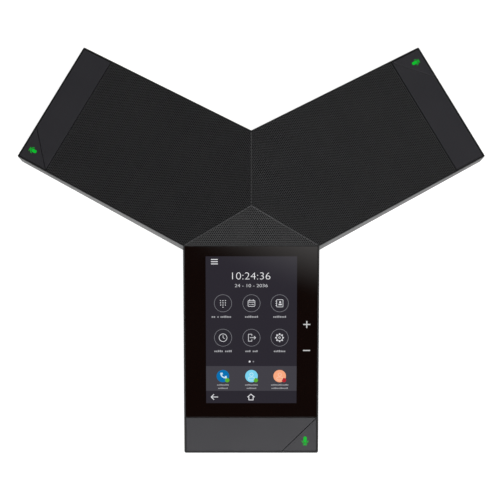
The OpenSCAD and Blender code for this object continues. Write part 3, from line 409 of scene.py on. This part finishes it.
def makeGrillePiece(name, bm, arm):
    thicken(bm, grille["sheet"])
    bm.transform(deckPlace(arm))
    makePiece(name, bm, finishes["grille_steel"], replaces=("speaker_grille",))


makeGrillePiece("grille_front", perforatedDeck("front"), "front")
for arm in ("right", "left"):
    for part in ("plus", "minus"):
        bm = perforatedDeck(arm)
        away = [face for face in bm.faces
                if (face.calc_center_median().y < grille["splitAt"]) == (part == "plus")]
        bmesh.ops.delete(bm, geom=away, context="FACES")
        makeGrillePiece(f"grille_{arm}_{part}", bm, arm)


# One arm's plain strips beside its folds, cut from a flat blank and laid on the deck
def armStrips(arm):
    strip = bmesh.new()
    bmesh.ops.create_grid(strip, x_segments=1, y_segments=1, size=grille["blank"])
    trimToDeck(strip, grilleEnds[arm], 0)
    inner = grille["foldBand"] / math.sin(foldAngle)
    for side in (-1, 1):
        bmesh.ops.bisect_plane(strip, geom=everything(strip), dist=1e-5, plane_co=(inner, 0, 0),
                               plane_no=foldNormal(side))
    lean = math.tan(foldAngle)
    middles = [(face, face.calc_center_median()) for face in strip.faces]
    within = [face for face, middle in middles if abs(middle.y) < (middle.x - inner) * lean]
    bmesh.ops.delete(strip, geom=within, context="FACES")
    strip.transform(deckPlace(arm))
    return strip


# The strips along the three folds, bent to a small radius and meeting at the apex
def foldStrips():
    bm = bmesh.new()
    for arm in phone["armAngles"]:
        strip = armStrips(arm)
        mesh = bpy.data.meshes.new("strip")
        strip.to_mesh(mesh)
        strip.free()
        bm.from_mesh(mesh)
        bpy.data.meshes.remove(mesh)
    bmesh.ops.remove_doubles(bm, verts=bm.verts[:], dist=0.01 * mm)
    bm.normal_update()
    folds = [edge for edge in bm.edges
             if edge.is_manifold and edge.calc_face_angle(0) > math.radians(5)]
    print("folds:", len(folds))
    bmesh.ops.bevel(bm, geom=folds, offset=grille["foldSetback"] * mm, offset_type="OFFSET",
                    affect="EDGES", segments=grille["foldSegments"], profile=0.5, material=-1,
                    clamp_overlap=True)
    thicken(bm, grille["sheet"] * mm)
    for face in bm.faces:
        face.smooth = face.normal.z > 0.5
    return bm


makePiece("grille_folds", foldStrips(), finishes["grille_steel"],
          replaces=("speaker_grille",))
print("grille made")


def mergedCopy(name):
    bm = bmesh.new()
    bm.from_mesh(nodes[name].data)
    bm.transform(nodes[name].matrix_world)
    bmesh.ops.remove_doubles(bm, verts=bm.verts[:], dist=1e-6)
    bmesh.ops.dissolve_limit(bm, angle_limit=math.radians(1), verts=bm.verts[:], edges=bm.edges[:])
    bmesh.ops.recalc_face_normals(bm, faces=bm.faces[:])
    return bm


# Edges broken as the mould or the polisher leaves them: radii and lengths in mm
edges = {
    "radii": {"cap": 0.2, "key": 0.2, "glass": 0.2, "foot": 0.6},
    "segments": 3,
    "sharpFrom": math.radians(25),
    "shortest": 5,
    "deckTolerance": 0.02,
    "soleHeight": 0.1,
}


# A copy of a CAD node with its chosen sharp edges broken
def softenedCopy(name, choose, radius, slot, body="root"):
    bm = mergedCopy(name)
    sharp = [edge for edge in bm.edges
             if edge.is_manifold and edge.calc_face_angle(0) > edges["sharpFrom"] and choose(edge)]
    bmesh.ops.bevel(bm, geom=sharp, offset=edges["radii"][radius] * mm, offset_type="OFFSET",
                    affect="EDGES", segments=edges["segments"], profile=0.5, material=-1,
                    clamp_overlap=True)
    makePiece(f"{name}_soft", bm, finishes[slot], body=body, replaces=(name,))


# Long edges that lie in the plane of one arm's deck
def inDeck(arm):
    toDeck = deckPlace(arm).inverted()
    return lambda edge: (edge.calc_length() > edges["shortest"] * mm
                         and all(abs((toDeck @ vert.co).z) < edges["deckTolerance"]
                                 for vert in edge.verts))


def inSole(edge):
    return all(vert.co.z < edges["soleHeight"] * mm for vert in edge.verts)


for arm in phone["armAngles"]:
    softenedCopy(f"end_cap_{arm}", inDeck(arm), "cap", "cap_plastic")
    softenedCopy(f"mute_key_{arm}", inDeck(arm), "key", "cap_plastic", body=f"mute_key_{arm}")
softenedCopy("display_glass", inDeck("front"), "glass", "cover_glass")
softenedCopy("rubber_feet", inSole, "foot", "foot_rubber")
print("caps, keys, glass and feet softened")

# Six-lobed drive recesses, pressed up into the heads of the housing's screws
recess = {"radius": 1.25, "lobes": 6, "lobe": 0.2, "depth": 1.0, "headWithin": 0.2}


def recessedScrews():
    bm = mergedCopy("housing_screws")
    headUnderside = min(vert.co.z for vert in bm.verts)
    discs = [face for face in bm.faces if face.normal.z < -0.9
             and face.calc_center_median().z < headUnderside + recess["headWithin"] * mm]
    for disc in discs:
        middle = disc.calc_center_median()
        headRadius = max((vert.co - middle).length for vert in disc.verts)
        bmesh.ops.inset_individual(bm, faces=[disc], thickness=headRadius - recess["radius"] * mm,
                                   use_even_offset=True)
        for vert in disc.verts:
            spoke = vert.co - middle
            wave = math.cos(recess["lobes"] * math.atan2(spoke.y, spoke.x))
            lobed = recess["radius"] + recess["lobe"] * wave
            vert.co = middle + spoke.normalized() * lobed * mm
        pressed = bmesh.ops.extrude_discrete_faces(bm, faces=[disc])["faces"]
        bmesh.ops.translate(bm, verts=list(pressed[0].verts), vec=(0, 0, recess["depth"] * mm))
    print("recessed heads:", len(discs))
    return bm


makePiece("housing_screws_recessed", recessedScrews(), finishes["screw_steel"],
          replaces=("housing_screws",))

# The network jack's black lining and its sprung wires, in mm
jack = {
    "mouth": (11.8, 13.0, 8.2),
    "mouthRise": 2.4,
    "lining": 0.25,
    "liningGap": 0.02,
    "liningSetback": 0.3,
    "wires": 8,
    "wire": (0.4, 9.5, 0.25),
    "wirePitch": 1.02,
    "wireLean": math.radians(20),
    "wireSetback": 1.2,
    "wireRise": 0.6,
    "wireBevel": 0.05,
}

# The USB socket's tongue in a thin black skin, with its contacts below, in mm
usb = {
    "tongue": (10.8, 10.0, 1.6),
    "tongueRise": 3.25,
    "tongueSetback": 0.6,
    "skin": 0.04,
    "skinBevel": 0.15,
    "contacts": 4,
    "contact": (1.1, 7.0, 0.08),
    "contactPitch": 2.3,
    "contactForward": 0.5,
    "contactBevel": 0.02,
}


def addBlock(bm, middle, size, bevel, lean=0.0):
    fresh = bmesh.ops.create_cube(bm, size=1.0)["verts"]
    bmesh.ops.scale(bm, verts=fresh, vec=size)
    bmesh.ops.rotate(bm, verts=fresh, cent=(0, 0, 0), matrix=Matrix.Rotation(lean, 3, "X"))
    bmesh.ops.translate(bm, verts=fresh, vec=middle)
    sides = list({edge for vert in fresh for edge in vert.link_edges})
    bmesh.ops.bevel(bm, geom=sides, offset=bevel, offset_type="OFFSET", affect="EDGES",
                    segments=1, profile=0.5, material=-1, clamp_overlap=True)


def makeSocketPiece(name, bm, slot):
    bm.transform(Matrix.Scale(mm, 4))
    makePiece(name, bm, finishes[slot])


def cornersInMm(name):
    return [Vector(corner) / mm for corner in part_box(name)]


jackLow, jackHigh = cornersInMm("lan_jack")
jackX, jackFace = (jackLow.x + jackHigh.x) / 2, jackHigh.y
jackFloor = jackLow.z + jack["mouthRise"]


# A thin box, open above and at the mouth
def jackLining():
    wide, deep, tall = jack["mouth"]
    gap = jack["liningGap"]
    bm = bmesh.new()
    bmesh.ops.create_cube(bm, size=1.0)
    openSides = [face for face in bm.faces if face.normal.y > 0.5 or face.normal.z > 0.5]
    bmesh.ops.delete(bm, geom=openSides, context="FACES")
    bmesh.ops.scale(bm, verts=bm.verts[:],
                    vec=(wide - gap, deep - jack["liningSetback"], tall - gap))
    bmesh.ops.translate(bm, verts=bm.verts[:],
                        vec=(jackX, jackFace - deep / 2, jackFloor + tall / 2))
    bmesh.ops.solidify(bm, geom=bm.faces[:], thickness=jack["lining"])
    return bm


def jackWires():
    reach = jack["wire"][1] / 2
    y = jackFace - jack["wireSetback"] - reach
    z = jackFloor + jack["wireRise"] + reach * math.sin(jack["wireLean"])
    bm = bmesh.new()
    for k in range(jack["wires"]):
        x = jackX + (k - (jack["wires"] - 1) / 2) * jack["wirePitch"]
        addBlock(bm, (x, y, z), jack["wire"], jack["wireBevel"], lean=-jack["wireLean"])
    return bm


makeSocketPiece("lan_jack_lining", jackLining(), "black_resin")
makeSocketPiece("lan_jack_wires", jackWires(), "antenna_film")

usbLow, usbHigh = cornersInMm("usb_socket")
tongueX = (usbLow.x + usbHigh.x) / 2
tongueY = usbHigh.y - usb["tongueSetback"] - usb["tongue"][1] / 2
tongueZ = usbLow.z + usb["tongueRise"] + usb["tongue"][2] / 2


def tongueSkin():
    bm = bmesh.new()
    addBlock(bm, (tongueX, tongueY, tongueZ),
             [length + 2 * usb["skin"] for length in usb["tongue"]], usb["skinBevel"])
    return bm


def tongueContacts():
    y = tongueY + usb["contactForward"]
    z = tongueZ - usb["tongue"][2] / 2 - usb["skin"]
    bm = bmesh.new()
    for k in range(usb["contacts"]):
        x = tongueX + (k - (usb["contacts"] - 1) / 2) * usb["contactPitch"]
        addBlock(bm, (x, y, z), usb["contact"], usb["contactBevel"])
    return bm


makeSocketPiece("usb_tongue_skin", tongueSkin(), "black_resin")
makeSocketPiece("usb_contacts", tongueContacts(), "antenna_film")
print("sockets and screws detailed")

# What the display shows, drawn flat in the reading frame and raised a few hundredths of a mm.
# Places are x and y in mm from the apex, with y up the screen; lit, dock and foot add their size.
screen = {
    "lit": [0.07, -99.07, 71.8, 117.9],
    "dock": [0.07, -137.96, 71.8, 20.0],
    "foot": [0.07, -152.99, 71.8, 10.0],
    "ringRadius": 7.0,
    "ringLine": 0.3,
    "columns": (-22.3, 0.17, 22.4),
    "rows": (-77.44, -105.02),
    "labels": (-88.4, -116.06),
    "faces": (-22.5, 0.19, 22.57),
    "faceRow": -136.04,
    "faceRadius": 5.0,
    "iconLine": 0.42,
    "markLine": 0.6,
    "menu": (-28.95, -44.34),
    "pageDots": ((-1.3, -124.3), (1.7, -124.3)),
    "back": (-29.0, -153.02),
    "home": -0.21,
    "homeRows": (-151.9, -154.2, -155.4),
    "plus": (43.85, -94.41),
    "minus": (43.73, -115.33),
    "volumeBar": (5.6, 0.9),
    "handsetBend": (1.9, 2.1),
}


def addBar(bm, at, size, turn=0.0, corner=0.0):
    made = bmesh.ops.create_grid(bm, x_segments=1, y_segments=1, size=0.5)["verts"]
    bmesh.ops.scale(bm, verts=made, vec=(size[0], size[1], 1))
    if corner:
        rounded = bmesh.ops.bevel(bm, geom=made, offset=corner * 0.98, offset_type="OFFSET",
                                  affect="VERTICES", segments=4, profile=0.5, material=-1,
                                  clamp_overlap=True)
        made = list({vert for face in rounded["faces"] for vert in face.verts}
                    | {vert for vert in rounded["verts"]})
    bmesh.ops.rotate(bm, verts=made, cent=(0, 0, 0), matrix=Matrix.Rotation(turn, 3, "Z"))
    bmesh.ops.translate(bm, verts=made, vec=(at[0], at[1], 0))


def addDisc(bm, at, radius, segments):
    bmesh.ops.create_circle(bm, cap_ends=True, segments=segments, radius=radius,
                            matrix=Matrix.Translation((at[0], at[1], 0)))


# Leaves of the newest faces only a line along their border
def keepBorder(bm, before, line):
    plate = [face for face in bm.faces if face not in before]
    bmesh.ops.inset_region(bm, faces=plate, thickness=line, use_even_offset=True,
                           use_boundary=True)
    bmesh.ops.delete(bm, geom=plate, context="FACES")


def addRing(bm, at, radius, line, segments=40):
    before = set(bm.faces)
    addDisc(bm, at, radius, segments)
    keepBorder(bm, before, line)


def addFrame(bm, at, size, line, corner):
    before = set(bm.faces)
    addBar(bm, at, size, corner=corner)
    keepBorder(bm, before, line)


# Flat shapes turned into thin lit prisms between two heights
def makeLit(name, bm, colour, low, high):
    thicken(bm, high - low)
    bmesh.ops.translate(bm, verts=bm.verts[:], vec=(0, 0, high))
    bm.transform(readingPlace)
    makePiece(name, bm, litPixels(name, colour))


def drawPatch(place):
    return lambda bm: addBar(bm, place[:2], place[2:])


def drawRings(bm):
    for x in screen["columns"]:
        for y in screen["rows"]:
            addRing(bm, (x, y), screen["ringRadius"], screen["ringLine"], 64)


def drawIcons(bm):
    line = screen["iconLine"]
    left, middle, right = screen["columns"]
    top, low = screen["rows"]
    for k in range(9):  # keypad
        addDisc(bm, (left + (k % 3 - 1) * 1.9, top + 2.1 - (k // 3) * 1.75), 0.42, 12)
    addDisc(bm, (left, top - 3.15), 0.42, 12)
    addFrame(bm, (middle, top - 0.1), (5.8, 5.2), line, 0.9)  # calendar
    for x in (-1.4, 1.4):
        addBar(bm, (middle + x, top + 2.5), (line, 1.5), corner=0.15)
    addBar(bm, (middle, top + 0.9), (4.6, line))
    addBar(bm, (middle + 0.9, top - 0.9), (2.0, line))
    addBar(bm, (middle - 1.3, top - 0.9), (1.0, line))
    addFrame(bm, (right + 0.1, top), (5.4, 6.2), line, 0.7)  # address book
    for y in (-1.7, 0.0, 1.7):
        addBar(bm, (right - 2.7, top + y), (1.2, line), corner=0.15)
    addDisc(bm, (right + 0.4, top + 0.9), 0.8, 20)
    addBar(bm, (right + 0.4, top - 0.95), (2.7, 1.2), corner=0.55)
    addRing(bm, (left, low), 3.3, line)  # clock face
    addBar(bm, (left, low + 0.95), (line, 2.1))
    addBar(bm, (left + 0.6, low - 0.35), (1.7, line), turn=math.radians(-35))
    addBar(bm, (middle - 2.4, low), (line, 5.6))  # way out
    for y in (-1, 1):
        addBar(bm, (middle - 1.1, low + y * 2.8), (3.0, line))
        addBar(bm, (middle + 0.3, low + y * 2.2), (line, 1.6))
        addBar(bm, (middle + 2.65, low + y * 0.65), (2.0, line), turn=math.radians(-45 * y))
    addBar(bm, (middle + 1.0, low), (4.6, line))
    addRing(bm, (right, low), 2.6, line)  # gear
    addRing(bm, (right, low), 0.9, line, 24)
    for k in range(8):
        turn = math.radians(45 * k)
        addBar(bm, (right + 3.0 * math.cos(turn), low + 3.0 * math.sin(turn)), (0.9, 1.15),
               turn=turn, corner=0.15)


# Words are left as rows of small blocks of their lengths, with nothing to read. Each label lists
# its words as (middle, length), and each face has two lines below it.
words = {
    "labels": (
        ((-7.6, 3.2), (-3.9, 1.2), (2.2, 8.6)), ((0.0, 10.6),), ((0.0, 10.4),),
        ((-3.6, 7.0), (4.2, 5.6)), ((-2.8, 4.4), (2.9, 4.2)), ((0.0, 9.4),),
    ),
    "labelHeight": 1.15,
    "names": ((9.4, 7.8), (10.4, 7.8), (14.0, 13.2)),
    "nameRows": (-143.3, -146.0),
    "nameHeight": 0.8,
    "step": 1.15,
    "fill": 0.72,
    "rises": (0.0, 0.3, 0.1, 0.0, 0.4),
}


def addBlocks(bm, at, length, height):
    step = words["step"] * height
    count = max(2, round(length / step))
    for k in range(count):
        rise = words["rises"][k * 3 % 5] * height
        addBar(bm, (at[0] - length / 2 + (k + 0.5) * length / count, at[1] + rise / 2),
               (words["fill"] * length / count, height + rise))


def drawWords(bm):
    for k, label in enumerate(words["labels"]):
        x, y = screen["columns"][k % 3], screen["labels"][k // 3]
        for offset, length in label:
            addBlocks(bm, (x + offset, y), length, words["labelHeight"])
    for x, lengths in zip(screen["faces"], words["names"]):
        for y, length in zip(words["nameRows"], lengths):
            addBlocks(bm, (x, y), length, words["nameHeight"])


def drawMarks(bm):
    line = screen["markLine"]
    x, y = screen["menu"]
    for k in (-1, 0, 1):
        addBar(bm, (x, y + k * 1.75), (5.4, 0.65))
    addDisc(bm, screen["pageDots"][0], 0.75, 20)
    x, y = screen["back"]
    addBar(bm, (x, y), (5.2, line))
    for k in (-1, 1):
        addBar(bm, (x - 1.75, y + k * 1.1), (3.2, line), turn=math.radians(45 * k))
    x = screen["home"]
    roof, walls, sill = screen["homeRows"]
    for k in (-1, 1):
        addBar(bm, (x + k * 1.35, roof), (3.9, line), turn=math.radians(-42 * k))
        addBar(bm, (x + k * 1.7, walls), (line, 2.8))
    addBar(bm, (x, sill), (3.9, line))


def drawVolume(bm):
    x, y = screen["plus"]
    addBar(bm, (x, y), screen["volumeBar"])
    for k in (-1, 1):
        addBar(bm, (x, y + k * 1.625), (screen["volumeBar"][1], 2.35))
    addBar(bm, screen["minus"], screen["volumeBar"])


def drawFace(k):
    at = (screen["faces"][k], screen["faceRow"])
    return lambda bm: addDisc(bm, at, screen["faceRadius"], 48)


def drawStatus(places):
    return lambda bm: [addDisc(bm, (screen["faces"][k] + 3.4, screen["faceRow"] - 3.3), 1.75, 28)
                       for k in places]


# The handset is an arc with two ends, bent round a point up to the right of its middle
def drawHandset(bm):
    x = screen["faces"][0] + screen["handsetBend"][0]
    y = screen["faceRow"] + screen["handsetBend"][1]
    for k in range(-3, 4):
        along = math.radians(-130 + k * 14)
        addBar(bm, (x + 3.4 * math.cos(along), y + 3.4 * math.sin(along)), (1.0, 1.1), turn=along)
    for along in (math.radians(-178), math.radians(-82)):
        addBar(bm, (x + 3.0 * math.cos(along), y + 3.0 * math.sin(along)), (2.0, 1.5), turn=along,
               corner=0.3)


# A plain head with shoulders
def drawHead(k):
    def draw(bm):
        x, y = screen["faces"][k], screen["faceRow"]
        addRing(bm, (x, y + 1.2), 1.5, 0.35, 28)
        addFrame(bm, (x, y - 2.0), (5.0, 2.7), 0.35, 1.3)
    return draw


def drawDot(bm):
    addDisc(bm, screen["pageDots"][1], 0.6, 20)


# Each layer's name, what draws it, its colour, and its lower and upper height in mm
layers = (
    ("backdrop", drawPatch(screen["lit"]), "2a272f", 0.0, 0.01),
    ("dock", drawPatch(screen["dock"]), "413f46", 0.01, 0.02),
    ("foot", drawPatch(screen["foot"]), "2a272f", 0.01, 0.02),
    ("rings", drawRings, "84848a", 0.01, 0.02),
    ("icons", drawIcons, "dcdce0", 0.01, 0.02),
    ("words", drawWords, "a4a4a8", 0.02, 0.03),
    ("marks", drawMarks, "e6e6ea", 0.02, 0.03),
    ("dot", drawDot, "8a8a90", 0.02, 0.03),
    ("volume", drawVolume, "c8c8c8", 0.0, 0.02),
    ("face_0", drawFace(0), "0071b2", 0.02, 0.03),
    ("face_1", drawFace(1), "7dd4f0", 0.02, 0.03),
    ("face_2", drawFace(2), "faaa82", 0.02, 0.03),
    ("handset", drawHandset, "c8e4f4", 0.03, 0.04),
    ("head_1", drawHead(1), "d6f2fb", 0.03, 0.04),
    ("head_2", drawHead(2), "fcd2bc", 0.03, 0.04),
    ("free", drawStatus((0, 1)), "5cae2c", 0.03, 0.04),
    ("busy", drawStatus((2,)), "b5202c", 0.03, 0.04),
)
for name, draw, colour, low, high in layers:
    bm = bmesh.new()
    draw(bm)
    makeLit(f"screen_{name}", bm, colour, low, high)

# The clock and the date: their middle, width and height in mm
numerals = {
    "screen_clock": {"text": "10:24:36", "at": (0.0, -55.68), "size": (30.0, 5.6),
                     "thinner": 0.02, "colour": "f2f2f4"},
    "screen_date": {"text": "24 - 10 - 2036", "at": (0.0, -63.32), "size": (26.0, 2.5),
                    "thinner": 0.0, "colour": "c4c4c8"},
}


# Plain numerals, set with the built-in letterforms
def drawNumerals(name, look):
    curve = bpy.data.curves.new(name, "FONT")
    curve.body = look["text"]
    curve.offset = -look["thinner"]
    holder = bpy.data.objects.new(name, curve)
    mesh = bpy.data.meshes.new_from_object(holder)
    bpy.data.objects.remove(holder)
    bm = bmesh.new()
    bm.from_mesh(mesh)
    bpy.data.meshes.remove(mesh)
    lows = [min(vert.co[axis] for vert in bm.verts) for axis in (0, 1)]
    highs = [max(vert.co[axis] for vert in bm.verts) for axis in (0, 1)]
    middle = [(low + high) / 2 for low, high in zip(lows, highs)]
    stretch = [size / (high - low) for size, low, high in zip(look["size"], lows, highs)]
    bmesh.ops.translate(bm, verts=bm.verts[:], vec=(-middle[0], -middle[1], 0))
    bmesh.ops.scale(bm, verts=bm.verts[:], vec=(*stretch, 1))
    bmesh.ops.remove_doubles(bm, verts=bm.verts[:], dist=1e-4)
    bmesh.ops.translate(bm, verts=bm.verts[:], vec=(*look["at"], 0))
    return bm


for name, look in numerals.items():
    makeLit(name, drawNumerals(name, look), look["colour"], 0.02, 0.03)
print("display drawn")

stage = {
    "floorSize": 14.0,
    "paperTones": ("d6d6d6", "dadada"),
    "paperSeen": "a8a8a8",
    "paperGlow": 0.92,
    "keyFrom": Vector((0.1, -0.86, 0.49)),
    "keyDistance": 2.0,
    "keySize": (2.2, 1.3),
    "keyPower": 35.0,
}


# Pale paper: the camera and reflections see it brighter than it lights the phone, its shadow kept
def paperFloor():
    material, tree, shader, place = startMaterial("paleSeamlessPaper", "d8d8d8", 0.9)
    tintAndDrift(tree, shader, place, stage["paperTones"], 40, (0.88, 0.92), driftMm=60)
    seen = addNode(tree, "ShaderNodeBsdfPrincipled",
                   {"Base Color": linear(stage["paperSeen"]), "Roughness": 0.9,
                    "Emission Color": (1, 1, 1, 1), "Emission Strength": stage["paperGlow"]})
    path = addNode(tree, "ShaderNodeLightPath")
    direct = addNode(tree, "ShaderNodeMath", {},
                     {0: path.outputs["Is Camera Ray"], 1: path.outputs["Is Glossy Ray"]},
                     operation="MAXIMUM")
    either = addNode(tree, "ShaderNodeMath", {},
                     {0: direct.outputs["Value"], 1: path.outputs["Is Transmission Ray"]},
                     operation="MAXIMUM")
    mixed = addNode(tree, "ShaderNodeMixShader", {},
                    {0: either.outputs["Value"], 1: shader.outputs["BSDF"],
                     2: seen.outputs["BSDF"]})
    tree.links.new(mixed.outputs["Shader"], tree.nodes["Material Output"].inputs["Surface"])
    return material


bm = bmesh.new()
bmesh.ops.create_grid(bm, x_segments=1, y_segments=1, size=stage["floorSize"] / 2)
floorMesh = bpy.data.meshes.new("floor")
bm.to_mesh(floorMesh)
bm.free()
floorMesh.materials.append(paperFloor())
floor = bpy.data.objects.new("floor", floorMesh)
scene.collection.objects.link(floor)

key = bpy.data.lights.new("keySoftbox", "AREA")
key.shape = "RECTANGLE"
key.size, key.size_y = stage["keySize"]
key.energy = stage["keyPower"]
keyObject = bpy.data.objects.new("keySoftbox", key)
keyTowards = stage["keyFrom"].normalized()
keyObject.location = keyTowards * stage["keyDistance"]
keyObject.rotation_euler = keyTowards.to_track_quat("Z", "Y").to_euler()
scene.collection.objects.link(keyObject)

# The room: pale low down and bright behind, dim over the front, with one soft round lamp
room = {
    "lowWall": 1.0,
    "overhead": 0.04,
    "wallFade": (0.08, 0.4),
    "rearSky": 0.155,
    "rearFade": (-0.25, 0.35),
    "lampTowards": Vector((0.148, -0.058, 0.987)),
    "lampStrength": 1.87,
    "lampFade": (math.radians(21.9), math.radians(18.2)),
}


def paintRoom():
    world = bpy.data.worlds.new("room")
    scene.world = world
    world.use_nodes = True
    tree = world.node_tree
    background = tree.nodes["Background"]
    background.inputs["Color"].default_value = (1, 1, 1, 1)
    direction = addNode(tree, "ShaderNodeTexCoord").outputs["Generated"]
    parts = addNode(tree, "ShaderNodeSeparateXYZ", {}, {0: direction})
    towards = addNode(tree, "ShaderNodeVectorMath", {1: room["lampTowards"].normalized()},
                      {0: direction}, operation="DOT_PRODUCT")
    walls = addNode(tree, "ShaderNodeMapRange",
                    {"From Min": room["wallFade"][0], "From Max": room["wallFade"][1],
                     "To Min": room["lowWall"], "To Max": room["overhead"]},
                    {"Value": parts.outputs["Z"]}, interpolation_type="SMOOTHSTEP")
    rear = addNode(tree, "ShaderNodeMapRange",
                   {"From Min": room["rearFade"][0], "From Max": room["rearFade"][1],
                    "To Min": 0.0, "To Max": room["rearSky"]},
                   {"Value": parts.outputs["Y"]}, interpolation_type="SMOOTHSTEP")
    lamp = addNode(tree, "ShaderNodeMapRange",
                   {"From Min": math.cos(room["lampFade"][0]),
                    "From Max": math.cos(room["lampFade"][1]),
                    "To Min": 0.0, "To Max": room["lampStrength"]},
                   {"Value": towards.outputs["Value"]}, interpolation_type="SMOOTHSTEP")
    sky = addNode(tree, "ShaderNodeMath", {},
                  {0: walls.outputs["Result"], 1: rear.outputs["Result"]}, operation="ADD")
    both = addNode(tree, "ShaderNodeMath", {}, {0: sky.outputs["Value"], 1: lamp.outputs["Result"]},
                   operation="ADD")
    seen = addNode(tree, "ShaderNodeLightPath").outputs["Is Camera Ray"]
    # The camera sees plain white; the sockets are 0 the factor, 2 the light and 3 the white
    strength = addNode(tree, "ShaderNodeMix", {3: 1.0}, {0: seen, 2: both.outputs["Value"]})
    tree.links.new(strength.outputs[0], background.inputs["Strength"])


paintRoom()
scene.view_settings.view_transform = "Standard"
print("stage lit")
